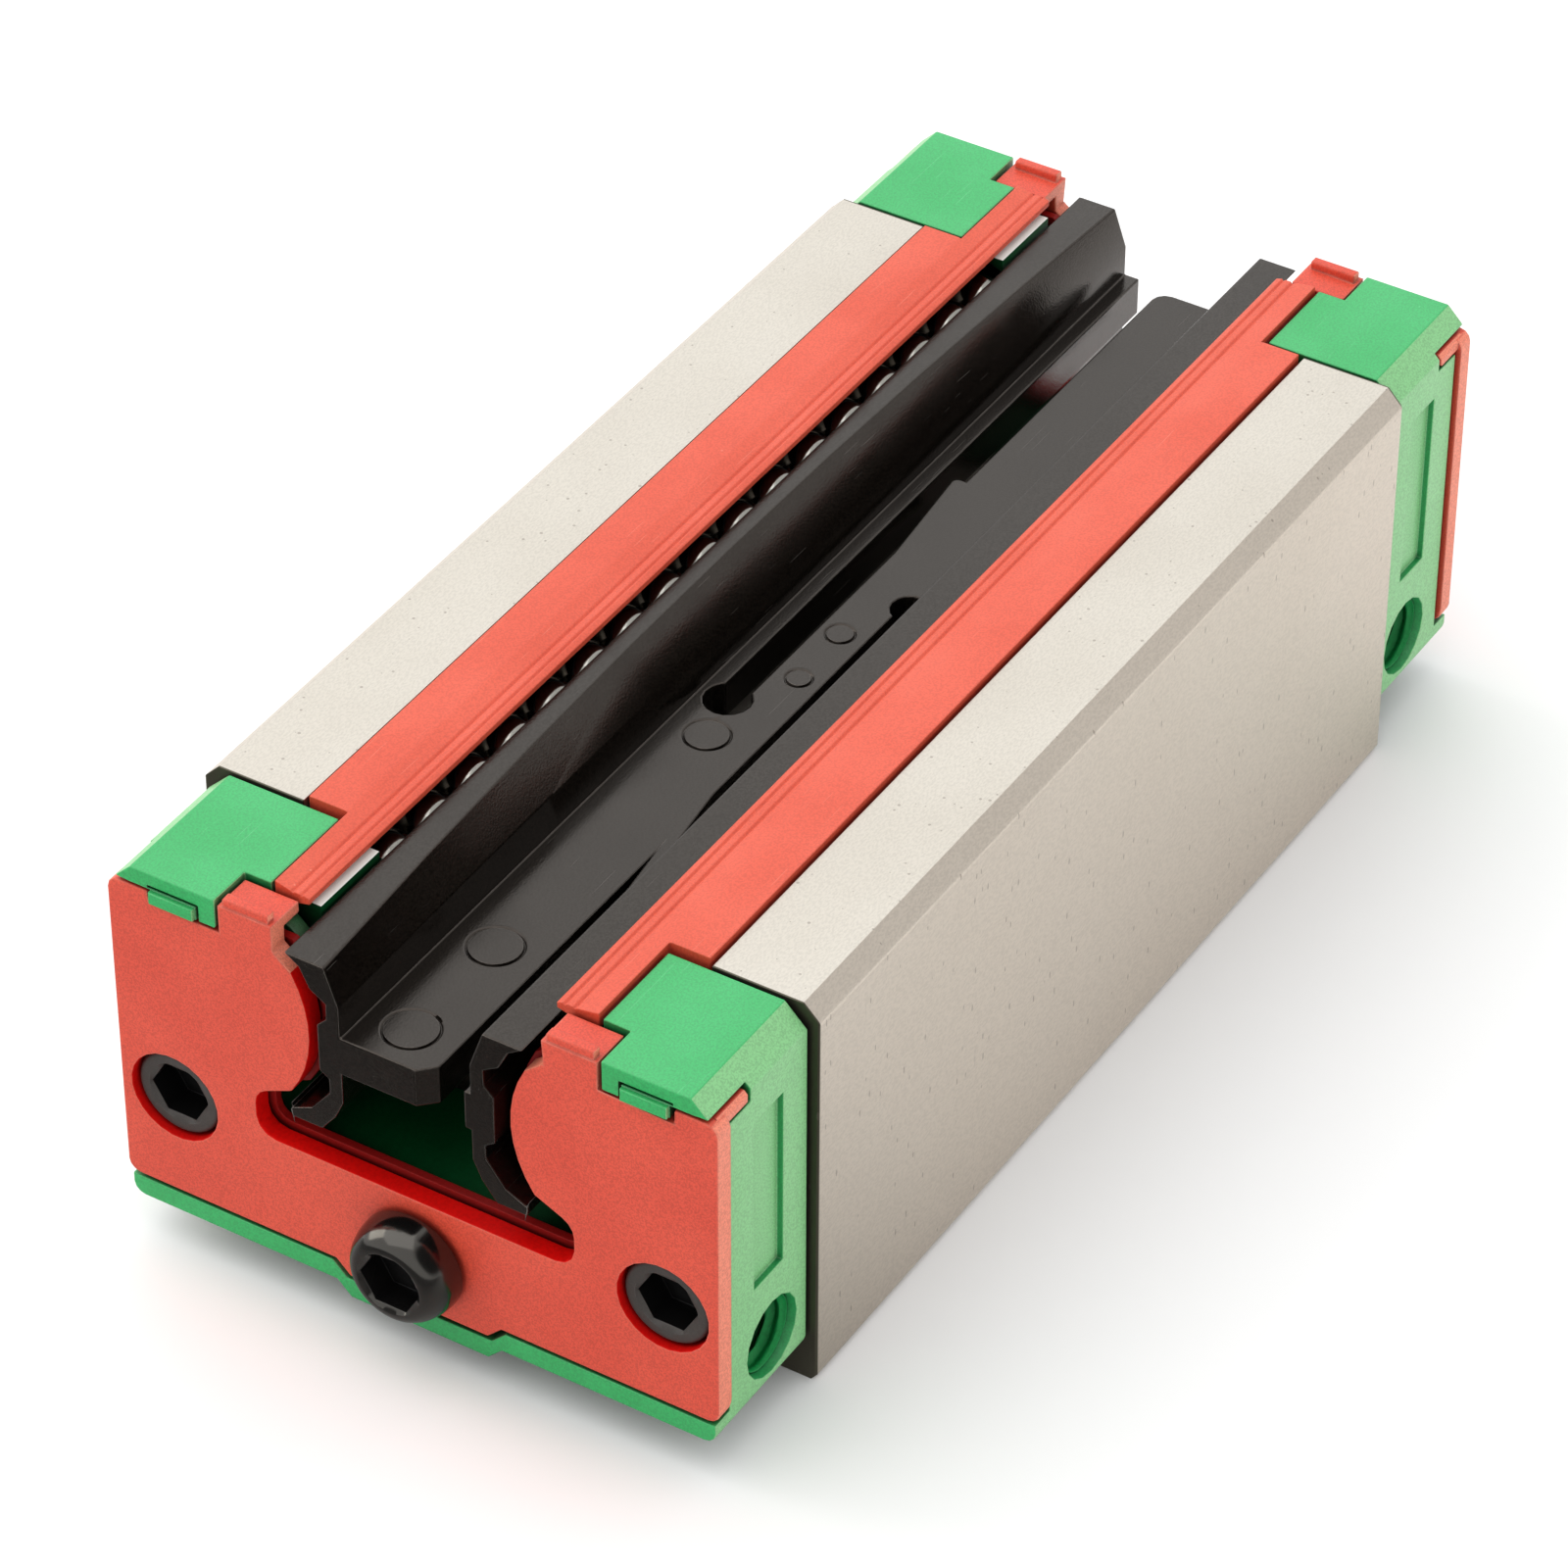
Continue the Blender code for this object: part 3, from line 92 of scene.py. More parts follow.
class Graph:
    """Adds and links the nodes of one node tree."""

    def __init__(self, tree: bpy.types.NodeTree) -> None:
        """Keep the tree.

        Args:
            tree: The node tree that gets the nodes.
        """
        self.tree = tree

    def add(self, kind: str, **settings: object) -> bpy.types.Node:
        """Add a node.

        Args:
            kind: The node's type name.
            settings: Properties of the node.

        Returns:
            The new node.
        """
        node = self.tree.nodes.new(kind)
        for key, value in settings.items():
            setattr(node, key, value)
        return node

    def feed(self, value: Feed, target: Socket) -> None:
        """Join an output to an input, or set the input to a plain value.

        Args:
            value: The output or the plain value.
            target: The input.
        """
        if isinstance(value, bpy.types.NodeSocket):
            self.tree.links.new(value, target)
        else:
            target.default_value = value

    def math(self, operation: str, first: Feed, second: Feed = 0.0, clamp: bool = False) -> Socket:
        """Add a math node.

        Args:
            operation: The operation's name.
            first: A value or an output.
            second: A value or an output.
            clamp: Whether the result is kept between 0 and 1.

        Returns:
            The node's output.
        """
        node = self.add("ShaderNodeMath", operation=operation, use_clamp=clamp)
        self.feed(first, node.inputs[0])
        self.feed(second, node.inputs[1])
        return node.outputs[0]

    def vector(self, operation: str, first: Feed, second: Feed) -> bpy.types.Node:
        """Add a vector math node.

        Args:
            operation: The operation's name.
            first: A vector or an output.
            second: A vector or an output.

        Returns:
            The node, whose output is Vector or Value.
        """
        node = self.add("ShaderNodeVectorMath", operation=operation)
        self.feed(first, node.inputs[0])
        self.feed(second, node.inputs[1])
        return node

    def place(self) -> Socket:
        """Add the object's own coordinates.

        Returns:
            The place on the object, in metres.
        """
        return self.add("ShaderNodeTexCoord").outputs["Object"]

    def between(self, value: Feed, low: float, high: float, start: Feed = 0.0, stop: Feed = 1.0) -> Socket:
        """Map a value smoothly from one range to another.

        Args:
            value: The output that is mapped.
            low: Where the first range starts.
            high: Where the first range ends.
            start: The result at low.
            stop: The result at high.

        Returns:
            The mapped output.
        """
        node = self.add("ShaderNodeMapRange", interpolation_type="SMOOTHSTEP")
        pairs = (("Value", value), ("From Min", low), ("From Max", high), ("To Min", start), ("To Max", stop))
        for name, number in pairs:
            self.feed(number, node.inputs[name])
        return node.outputs["Result"]

    def mix(self, factor: Feed, first: Union[Socket, Colour], second: Union[Socket, Colour]) -> Socket:
        """Mix two colours.

        Args:
            factor: A value or an output, 0 for the first colour.
            first: A colour or an output.
            second: A colour or an output.

        Returns:
            The mixed colour.
        """
        node = self.add("ShaderNodeMix", data_type="RGBA")
        self.feed(factor, node.inputs[0])
        for value, socket in ((first, node.inputs[6]), (second, node.inputs[7])):
            self.feed((*value, 1.0) if isinstance(value, tuple) else value, socket)
        return node.outputs[2]

    def noise(self, place: Socket, size: Feed, detail: float = 2.0) -> Socket:
        """Add a noise of a size in millimetres.

        Args:
            place: The coordinates, in metres.
            size: Size of the noise in millimetres.
            detail: Its detail.

        Returns:
            The noise, 0 to 1.
        """
        node = self.add("ShaderNodeTexNoise")
        node.inputs["Detail"].default_value = detail
        self.feed(place, node.inputs["Vector"])
        self.feed(self.math("DIVIDE", 1.0 / MM, size), node.inputs["Scale"])
        return node.outputs["Fac"]

    def group(self, tree: bpy.types.NodeTree, **values: Feed) -> bpy.types.Node:
        """Place a node group.

        Args:
            tree: The shader node group.
            values: Values or outputs for its inputs, with _ for a space in a name.

        Returns:
            The group's node.
        """
        node = self.add("ShaderNodeGroup", node_tree=tree)
        for key, value in values.items():
            self.feed(value, node.inputs[key.replace("_", " ").capitalize()])
        return node


class Effects:
    """The shader node groups that several materials share, each built once."""

    FLOAT = "NodeSocketFloat"
    VECTOR = "NodeSocketVector"

    def __init__(self) -> None:
        """Build every group."""
        self.grain = self._grain()
        self.wear_and_highlight = self._wear_and_highlight()
        self.painted_shade = self._painted_shade()
        self.specks = self._specks()
        self.scratches = self._scratches()
        self.band = self._band()
        self.side = self._side()

    @staticmethod
    def _start(name: str, inputs: Iterable[tuple[str, str, object]],
               outputs: Iterable[tuple[str, str]]) -> tuple[Graph, bpy.types.Node, bpy.types.Node]:
        """Start a group with its sockets.

        Args:
            name: The group's name.
            inputs: Name, socket type and first value of each input.
            outputs: Name and socket type of each output.

        Returns:
            The graph, its input node and its output node.
        """
        tree = bpy.data.node_groups.new(name, "ShaderNodeTree")
        for label, kind, value in inputs:
            socket = tree.interface.new_socket(label, in_out="INPUT", socket_type=kind)
            socket.default_value = value
        for label, kind in outputs:
            tree.interface.new_socket(label, in_out="OUTPUT", socket_type=kind)
        graph = Graph(tree)
        return graph, graph.add("NodeGroupInput"), graph.add("NodeGroupOutput")

    def _grain(self) -> bpy.types.NodeTree:
        """Build a fine stretched noise and two broad ones.

        Returns:
            The group, with Height, Cloud and Wave from 0 to 1.
        """
        graph, given, out = self._start(
            "Grain",
            (("Size", self.FLOAT, 0.3), ("Cloud size", self.FLOAT, 8.0), ("Wave size", self.FLOAT, 14.0),
             ("Stretch", self.VECTOR, (1.0, 1.0, 1.0))),
            (("Height", self.FLOAT), ("Cloud", self.FLOAT), ("Wave", self.FLOAT)))
        place = graph.place()
        stretched = graph.vector("DIVIDE", place, given.outputs["Stretch"]).outputs["Vector"]
        graph.feed(graph.noise(stretched, given.outputs["Size"], 3.0), out.inputs["Height"])
        graph.feed(graph.noise(place, given.outputs["Cloud size"], 3.0), out.inputs["Cloud"])
        graph.feed(graph.noise(place, given.outputs["Wave size"], 0.0), out.inputs["Wave"])
        return graph.tree

    def _wear_and_highlight(self) -> bpy.types.NodeTree:
        """Build a mask of worn edges and painted edge highlights, with the normal that rounds them.

        Returns:
            The group, with Mask and Normal.
        """
        graph, given, out = self._start(
            "Edge wear", (("Radius", self.FLOAT, 0.2), ("Breakup", self.FLOAT, 0.5)),
            (("Mask", self.FLOAT), ("Normal", self.VECTOR)))
        bevel = graph.add("ShaderNodeBevel", samples=6)
        graph.feed(graph.math("MULTIPLY", given.outputs["Radius"], MM), bevel.inputs["Radius"])
        flat = graph.add("ShaderNodeNewGeometry").outputs["Normal"]
        turn = graph.vector("DOT_PRODUCT", bevel.outputs["Normal"], flat).outputs["Value"]
        broken = graph.between(graph.noise(graph.place(), 1.6, 3.0), 0.40, 0.62)
        kept = graph.math("SUBTRACT", 1.0, graph.math("MULTIPLY", given.outputs["Breakup"], broken))
        edge = graph.math("MULTIPLY", graph.between(turn, 0.99, 0.86), kept, clamp=True)
        graph.feed(edge, out.inputs["Mask"])
        graph.feed(bevel.outputs["Normal"], out.inputs["Normal"])
        return graph.tree

    def _painted_shade(self) -> bpy.types.NodeTree:
        """Build a mask of painted shade, from ambient occlusion, in the places that other pieces crowd.

        Returns:
            The group, with Mask.
        """
        graph, given, out = self._start("Crevice", (("Reach", self.FLOAT, 1.0),), (("Mask", self.FLOAT),))
        hidden = graph.add("ShaderNodeAmbientOcclusion", samples=6)
        graph.feed(graph.math("MULTIPLY", given.outputs["Reach"], MM), hidden.inputs["Distance"])
        graph.feed(graph.between(hidden.outputs["AO"], 0.75, 0.15), out.inputs["Mask"])
        return graph.tree

    def _specks(self) -> bpy.types.NodeTree:
        """Build small scattered specks, which a stretch draws out.

        Returns:
            The group, with Mask.
        """
        graph, given, out = self._start(
            "Specks", (("Spacing", self.FLOAT, 1.5), ("Radius", self.FLOAT, 0.1),
                       ("Share", self.FLOAT, 0.3), ("Stretch", self.VECTOR, (1.0, 1.0, 1.0))),
            (("Mask", self.FLOAT),))
        cells = graph.add("ShaderNodeTexVoronoi")
        stretched = graph.vector("DIVIDE", graph.place(), given.outputs["Stretch"]).outputs["Vector"]
        graph.feed(stretched, cells.inputs["Vector"])
        graph.feed(graph.math("DIVIDE", 1.0 / MM, given.outputs["Spacing"]), cells.inputs["Scale"])
        split = graph.add("ShaderNodeSeparateColor")
        graph.feed(cells.outputs["Color"], split.inputs[0])
        reach = graph.math("DIVIDE", given.outputs["Radius"], given.outputs["Spacing"])
        reach = graph.math("MULTIPLY", reach, split.outputs[1])
        near = graph.math("LESS_THAN", cells.outputs["Distance"], reach)
        chosen = graph.math("LESS_THAN", split.outputs[0], given.outputs["Share"])
        graph.feed(graph.math("MULTIPLY", near, chosen), out.inputs["Mask"])
        return graph.tree

    def _scratches(self) -> bpy.types.NodeTree:
        """Build thin broken lines, drawn out along one direction.

        Returns:
            The group, with Mask.
        """
        graph, given, out = self._start(
            "Scratches", (("Turn", self.VECTOR, (0.0, 0.0, 0.0)), ("Width", self.FLOAT, 0.1),
                          ("Amount", self.FLOAT, 0.1)),
            (("Mask", self.FLOAT),))
        turned = graph.add("ShaderNodeMapping")
        place = graph.place()
        graph.feed(place, turned.inputs["Vector"])
        graph.feed(given.outputs["Turn"], turned.inputs["Rotation"])
        drawn = graph.vector("MULTIPLY", turned.outputs["Vector"], (0.02, 1.0, 1.0)).outputs["Vector"]
        lines = graph.noise(drawn, given.outputs["Width"], 1.0)
        thin = graph.math("GREATER_THAN", lines, graph.math("SUBTRACT", 0.78, given.outputs["Amount"]))
        patch = graph.between(graph.noise(place, 8.0, 1.0), 0.45, 0.65)
        graph.feed(graph.math("MULTIPLY", thin, patch), out.inputs["Mask"])
        return graph.tree

    def _band(self) -> bpy.types.NodeTree:
        """Build a mask of what lies further from the middle along X than a distance.

        Returns:
            The group, with Mask.
        """
        graph, given, out = self._start(
            "End band", (("Start", self.FLOAT, 39.0), ("Stop", self.FLOAT, 40.0)), (("Mask", self.FLOAT),))
        split = graph.add("ShaderNodeSeparateXYZ")
        graph.feed(graph.place(), split.inputs[0])
        along = graph.math("DIVIDE", graph.math("ABSOLUTE", split.outputs["X"]), MM)
        past = graph.math("SUBTRACT", along, given.outputs["Start"])
        width = graph.math("SUBTRACT", given.outputs["Stop"], given.outputs["Start"])
        graph.feed(graph.math("DIVIDE", past, width, clamp=True), out.inputs["Mask"])
        return graph.tree

    def _side(self) -> bpy.types.NodeTree:
        """Build a mask of the faces that look sideways, along Y, which take the painted sheen.

        Returns:
            The group, with Mask.
        """
        graph, given, out = self._start("Side faces", (("Start", self.FLOAT, 0.45),), (("Mask", self.FLOAT),))
        split = graph.add("ShaderNodeSeparateXYZ")
        graph.feed(graph.add("ShaderNodeNewGeometry").outputs["Normal"], split.inputs[0])
        past = graph.math("SUBTRACT", graph.math("ABSOLUTE", split.outputs["Y"]), given.outputs["Start"])
        graph.feed(graph.math("MULTIPLY", past, 5.0, clamp=True), out.inputs["Mask"])
        return graph.tree


# Finishes

@dataclass(frozen=True)
class Marks:
    """Fine scratches and specks on a finish.

    Attributes:
        colour: Their colour.
        amount: How strongly they show.
        scratch: How many scratches there are, 0 to 0.3.
        width: Width of a scratch in millimetres.
        turn: Rotation of the scratches in radians.
        spacing: Distance between specks in millimetres.
        radius: Largest radius of a speck in millimetres.
        share: Share of the places that have a speck.
        stretch: How far a speck is drawn out along each axis.
    """

    colour: Colour
    amount: float = 0.3
    scratch: float = 0.05
    width: float = 0.12
    turn: Point = (0.0, 0.0, 0.0)
    spacing: float = 2.0
    radius: float = 0.15
    share: float = 0.3
    stretch: Point = (1.0, 1.0, 1.0)

    def mask(self, graph: Graph, effects: Effects) -> Socket:
        """Place the marks in a material.

        Args:
            graph: The material's graph.
            effects: The shared node groups.

        Returns:
            The mask, already scaled by the amount.
        """
        lines = graph.group(effects.scratches, turn=self.turn, width=self.width, amount=self.scratch)
        dots = graph.group(effects.specks, spacing=self.spacing, radius=self.radius, share=self.share,
                           stretch=self.stretch)
        both = graph.math("MAXIMUM", lines.outputs["Mask"], dots.outputs["Mask"])
        return graph.math("MULTIPLY", both, self.amount)


@dataclass(frozen=True)
class Finish:
    """A finish of the linear guide, as a Principled material.

    Attributes:
        name: The material's name.
        slot: The record's slot that the finish belongs to; not used.
        colour: The base colour, linear.
        shade: The second colour that the base varies to.
        grain_and_painted_shade: Colour that the grain darkens to, and of the painted shade in crowded places.
        painted_shade_amount: How strongly crowded places take that colour as painted shade.
        reach: How far a crowding piece casts the painted shade, in millimetres.
        roughness: The lowest roughness.
        roughness_span: How much rougher the cloudy places are.
        cloud: Size of the cloudy places in millimetres.
        grain: Size of the fine grain in millimetres.
        grain_stretch: How far the grain is drawn out along each axis.
        grain_depth: Height of the grain in millimetres.
        grain_tone: How strongly the grain darkens the colour.
        wave_depth: Height of the broad waviness in millimetres.
        metallic: Whether the finish is a metal, 0 to 1.
        specular: Specular level of the surface.
        tint: Colour of its reflection.
        edge: Colour of the edges, partly worn and partly a painted highlight where they catch light.
        edge_amount: How strongly the edges take that colour.
        edge_radius: Radius of the softened edges in millimetres.
        coat: Weight of a clear gloss that comes and goes with the grain.
        painted_sheen: Sheen painted on faces that look sideways, or nothing where they keep the base colour.
        marks: Fine scratches and specks, if any.
    """

    name: str
    slot: Slot
    colour: Colour
    shade: Colour
    grain_and_painted_shade: Colour
    painted_shade_amount: float = 0.7
    reach: float = 1.0
    roughness: float = 0.4
    roughness_span: float = 0.1
    cloud: float = 8.0
    grain: float = 0.25
    grain_stretch: Point = (1.0, 1.0, 1.0)
    grain_depth: float = 0.004
    grain_tone: float = 0.15
    wave_depth: float = 0.0
    metallic: float = 0.0
    specular: float = 0.5
    tint: Colour = (1.0, 1.0, 1.0)
    edge: Colour = (0.8, 0.8, 0.8)
    edge_amount: float = 0.2
    edge_radius: float = 0.12
    coat: float = 0.0
    painted_sheen: Optional[Colour] = None
    marks: Optional[Marks] = None

    def material(self, effects: Effects) -> bpy.types.Material:
        """Build the material.

        Args:
            effects: The shared node groups.

        Returns:
            The finished material.
        """
        made = bpy.data.materials.new(self.name)
        made.use_nodes = True
        graph = Graph(made.node_tree)
        shader = made.node_tree.nodes["Principled BSDF"]
        shader.inputs["Metallic"].default_value = self.metallic
        shader.inputs["Coat Roughness"].default_value = 0.08
        shader.inputs["Specular IOR Level"].default_value = self.specular
        shader.inputs["Specular Tint"].default_value = (*self.tint, 1.0)
        grain = graph.group(effects.grain, size=self.grain, cloud_size=self.cloud, stretch=self.grain_stretch)
        if self.coat > 0:
            gloss = graph.between(grain.outputs["Height"], 0.38, 0.62, 0.0, self.coat)
            graph.feed(gloss, shader.inputs["Coat Weight"])
        wear_and_highlight = graph.group(effects.wear_and_highlight, radius=self.edge_radius, breakup=0.5)
        crowd = graph.group(effects.painted_shade, reach=self.reach)
        tone = graph.between(grain.outputs["Cloud"], 0.3, 0.7)
        colour = graph.mix(tone, self.colour, self.shade)
        # Painted sheen: faces that look sideways turn paler, standing in for the light that they reflect.
        if self.painted_sheen is not None:
            colour = graph.mix(graph.group(effects.side).outputs["Mask"], colour, self.painted_sheen)
        fine = graph.between(grain.outputs["Height"], 0.35, 0.62, self.grain_tone, 0.0)
        colour = graph.mix(fine, colour, self.grain_and_painted_shade)
        # Edges take the edge colour: partly worn, partly a painted highlight.
        colour = graph.mix(graph.math("MULTIPLY", wear_and_highlight.outputs["Mask"], self.edge_amount), colour, self.edge)
        rough = graph.between(grain.outputs["Cloud"], 0.25, 0.75, self.roughness,
                              self.roughness + self.roughness_span)
        colour, rough = self.detail(graph, effects, colour, rough)
        if self.marks is not None:
            colour = graph.mix(self.marks.mask(graph, effects), colour, self.marks.colour)
        # Painted shade: crowded places darken towards the grain-and-shade colour, where shade would fall.
        dark = graph.math("MULTIPLY", crowd.outputs["Mask"], self.painted_shade_amount)
        colour = graph.mix(dark, colour, self.grain_and_painted_shade)
        graph.feed(colour, shader.inputs["Base Color"])
        graph.feed(rough, shader.inputs["Roughness"])
        graph.feed(self.relief(graph, grain, wear_and_highlight), shader.inputs["Normal"])
        return made

    def relief(self, graph: Graph, grain: bpy.types.Node, wear_and_highlight: bpy.types.Node) -> Socket:
        """Lay the grain and the waviness over the rounded normal.

        Args:
            graph: The material's graph.
            grain: The placed grain group.
            wear_and_highlight: The placed group of worn edges and painted highlights.

        Returns:
            The normal.
        """
        normal = wear_and_highlight.outputs["Normal"]
        for label, depth in (("Wave", self.wave_depth), ("Height", self.grain_depth)):
            if depth > 0:
                bump = graph.add("ShaderNodeBump")
                bump.inputs["Distance"].default_value = depth * MM
                graph.feed(grain.outputs[label], bump.inputs["Height"])
                graph.feed(normal, bump.inputs["Normal"])
                normal = bump.outputs["Normal"]
        return normal

    def detail(self, graph: Graph, effects: Effects, colour: Socket, rough: Socket) -> tuple[Socket, Socket]:
        """Add what only one kind of finish has.

        Args:
            graph: The material's graph.
            effects: The shared node groups.
            colour: The colour so far.
            rough: The roughness so far.

        Returns:
            The colour and the roughness.
        """
        return colour, rough


@dataclass(frozen=True)
class GroundFinish(Finish):
    """Ground steel whose sawn end faces are painted dark, as the shade in their gaps beside the caps.

    Attributes:
        end_start: Where the end faces begin along X, in millimetres.
        end_painted_shade: Colour of the end faces, painted shade.
        end_roughness: Roughness of the end faces.
    """

    end_start: float = 39.65
    end_painted_shade: Colour = (0.120, 0.110, 0.083)
    end_roughness: float = 0.55

    def detail(self, graph: Graph, effects: Effects, colour: Socket, rough: Socket) -> tuple[Socket, Socket]:
        """Paint shade on the end faces.

        Args:
            graph: The material's graph.
            effects: The shared node groups.
            colour: The colour so far.
            rough: The roughness so far.

        Returns:
            The colour and the roughness.
        """
        end = graph.group(effects.band, start=self.end_start, stop=self.end_start + 0.05).outputs["Mask"]
        return graph.mix(end, colour, self.end_painted_shade), graph.between(end, 0.0, 1.0, rough, self.end_roughness)


# Steel: end faces in painted shade, sideways faces in a painted sheen, edges partly a painted highlight.
GROUND_STEEL = GroundFinish(
    "ground_steel", Slot.STEEL, (0.640, 0.590, 0.520), (0.615, 0.565, 0.495), (0.10, 0.09, 0.08),
    painted_shade_amount=0.5, reach=0.5, roughness=0.40, roughness_span=0.05, cloud=14.0, grain=0.14,
    grain_stretch=(2.0, 1.0, 1.0), grain_depth=0.006, grain_tone=0.12, metallic=1.0,
    edge=(0.80, 0.75, 0.68), edge_amount=0.3, edge_radius=0.05, painted_sheen=(0.633, 0.564, 0.484),
    marks=Marks((0.22, 0.18, 0.15), 0.5, scratch=0.02, turn=(0.0, 1.57, 0.0), spacing=1.0, radius=0.18,
                share=0.5, stretch=(0.7, 0.7, 2.2)))
# Cap green: painted sheen sideways, painted shade where crowded, edges partly a painted highlight.
GREEN_PLASTIC = Finish(
    "green_plastic", Slot.GREEN_CAP, (0.022, 0.48, 0.125), (0.014, 0.44, 0.105), (0.0, 0.020, 0.005),
    painted_shade_amount=0.9, reach=7.0, roughness=0.40, edge=(0.12, 0.64, 0.25), edge_amount=0.5, specular=0.85,
    grain=0.14, grain_tone=0.24, painted_sheen=(0.235, 0.60, 0.240),
    marks=Marks((0.20, 0.66, 0.33), 0.35, scratch=0.05, spacing=1.6, radius=0.12, share=0.25))
# Painted shade: a darker, duller copy of the cap's green for the threads inside the side ports.
GREEN_PORT_SHADE = Finish(
    "green_thread", Slot.GREEN_CAP, (0.012, 0.34, 0.08), (0.008, 0.26, 0.06), (0.0, 0.008, 0.002),
    painted_shade_amount=1.0, reach=5.0, roughness=0.35, specular=0.20, edge=(0.05, 0.50, 0.15), edge_amount=0.6)
GREEN_SHADE = Finish(
    "green_shade", Slot.GREEN_CAP, (0.002, 0.085, 0.022), (0.001, 0.060, 0.014), (0.0, 0.004, 0.001),
    painted_shade_amount=0.9, reach=6.0, roughness=0.45, specular=0.15, edge=(0.01, 0.16, 0.05), edge_amount=0.3)
# Red plate: painted sheen on sideways faces, pink edges partly a painted highlight.
RED_PLASTIC = Finish(
    "red_plastic", Slot.RED_SEAL, (0.77, 0.086, 0.044), (0.72, 0.070, 0.034), (0.14, 0.003, 0.002),
    reach=1.2, roughness=0.45, grain=0.13, grain_depth=0.006, grain_tone=0.28, edge=(0.88, 0.26, 0.18),
    edge_amount=0.7, edge_radius=0.25, painted_sheen=(0.92, 0.262, 0.162),
    marks=Marks((0.42, 0.03, 0.018), 0.3, scratch=0.06, turn=(0.0, 0.6, 0.0), spacing=1.9, radius=0.12))
RED_STRIP = Finish(
    "red_strip", Slot.RED_SEAL, (0.77, 0.106, 0.052), (0.72, 0.090, 0.042), (0.22, 0.004, 0.003),
    roughness=0.40, grain=0.16, grain_tone=0.20, edge=(0.85, 0.22, 0.13), edge_amount=0.35,
    marks=Marks((0.88, 0.34, 0.24), 0.3, scratch=0.05, spacing=1.9, radius=0.10, share=0.2))
RED_SHADE = Finish(
    "red_shade", Slot.RED_SEAL, (0.80, 0.004, 0.003), (0.68, 0.003, 0.002), (0.10, 0.001, 0.001),
    reach=1.0, roughness=0.45, specular=0.12, edge=(0.85, 0.12, 0.07), edge_amount=0.4)
SEAL_RUBBER = Finish(
    "seal_rubber", Slot.SEAL_RUBBER, (0.36, 0.006, 0.005), (0.26, 0.005, 0.004), (0.03, 0.002, 0.002),
    roughness=0.5, specular=0.25, edge=(0.60, 0.03, 0.02))
WHITE_PLASTIC = Finish(
    "white_plastic", Slot.WHITE_GUIDE, (0.95, 0.94, 0.89), (0.92, 0.90, 0.84), (0.50, 0.46, 0.38),
    painted_shade_amount=0.1, roughness=0.35, grain_tone=0.05, edge=(0.95, 0.94, 0.90))
# Painted shade: the upper retainers are near-black, as the shade of the gap between strip and rail.
RETAINER_SHADE = Finish(
    "dark_retainer", Slot.WHITE_GUIDE, (0.008, 0.007, 0.006), (0.005, 0.005, 0.004), (0.001, 0.001, 0.001),
    roughness=0.4, edge=(0.03, 0.03, 0.03))
BLACK_OXIDE = Finish(
    "black_oxide", Slot.BLACK_SCREW, (0.066, 0.058, 0.052), (0.050, 0.044, 0.039), (0.002, 0.002, 0.002),
    painted_shade_amount=0.7, reach=0.6, roughness=0.42, grain=0.12, grain_depth=0.003, edge=(0.14, 0.13, 0.12),
    edge_amount=0.7, marks=Marks((0.12, 0.11, 0.10), 0.4, scratch=0.03, spacing=0.9, radius=0.06))
# Painted shade: a near-black, duller finish for the inside of the sockets, where light hardly reaches.
SOCKET_SHADE = Finish(
    "socket_black", Slot.BLACK_SCREW, (0.006, 0.0055, 0.0055), (0.003, 0.003, 0.003), (0.0, 0.0, 0.0),
    painted_shade_amount=0.9, reach=2.0, roughness=0.25, specular=0.35, edge=(0.03, 0.03, 0.03))
GLOSS_BLACK = Finish(
    "gloss_black", Slot.PLUG_STEEL, (0.006, 0.0055, 0.0055), (0.003, 0.003, 0.003), (0.0, 0.0, 0.0),
    painted_shade_amount=0.9, reach=0.8, roughness=0.11, roughness_span=0.08, cloud=2.5, grain=0.15,
    grain_depth=0.002, wave_depth=0.03, specular=1.0, tint=(1.0, 0.95, 0.86), edge=(0.05, 0.05, 0.048),
    edge_amount=0.4,
    marks=Marks((0.10, 0.10, 0.10), 0.5, scratch=0.02, spacing=1.1, radius=0.05))
# Balls: strong painted shade darkens them, so that only small highlights show.
BALL_CHROME = Finish(
    "ball_chrome", Slot.BALL_STEEL, (0.74, 0.71, 0.65), (0.68, 0.65, 0.59), (0.01, 0.009, 0.008),
    painted_shade_amount=0.93, reach=2.6, roughness=0.08, roughness_span=0.06, grain_depth=0.0004, grain_tone=0.0,
    metallic=1.0, edge_amount=0.0)
# Rail: its pale edge colour is a painted highlight, thin light lines along the ridges.
RAIL_PLASTIC = Finish(
    "rail_plastic", Slot.BLACK_RAIL, (0.009, 0.0070, 0.0055), (0.006, 0.0045, 0.0035), (0.0005, 0.0005, 0.0005),
    painted_shade_amount=0.9, roughness=0.10, roughness_span=0.14, cloud=6.0, grain=0.15, grain_depth=0.012,
    grain_tone=0.90, wave_depth=0.06, edge=(0.27, 0.250, 0.230), edge_amount=0.8, edge_radius=0.08,
    specular=0.53, tint=(1.0, 0.84, 0.72), coat=0.12,
    marks=Marks((0.12, 0.11, 0.10), 0.5, scratch=0.03, spacing=2.6, radius=0.09, share=0.2))


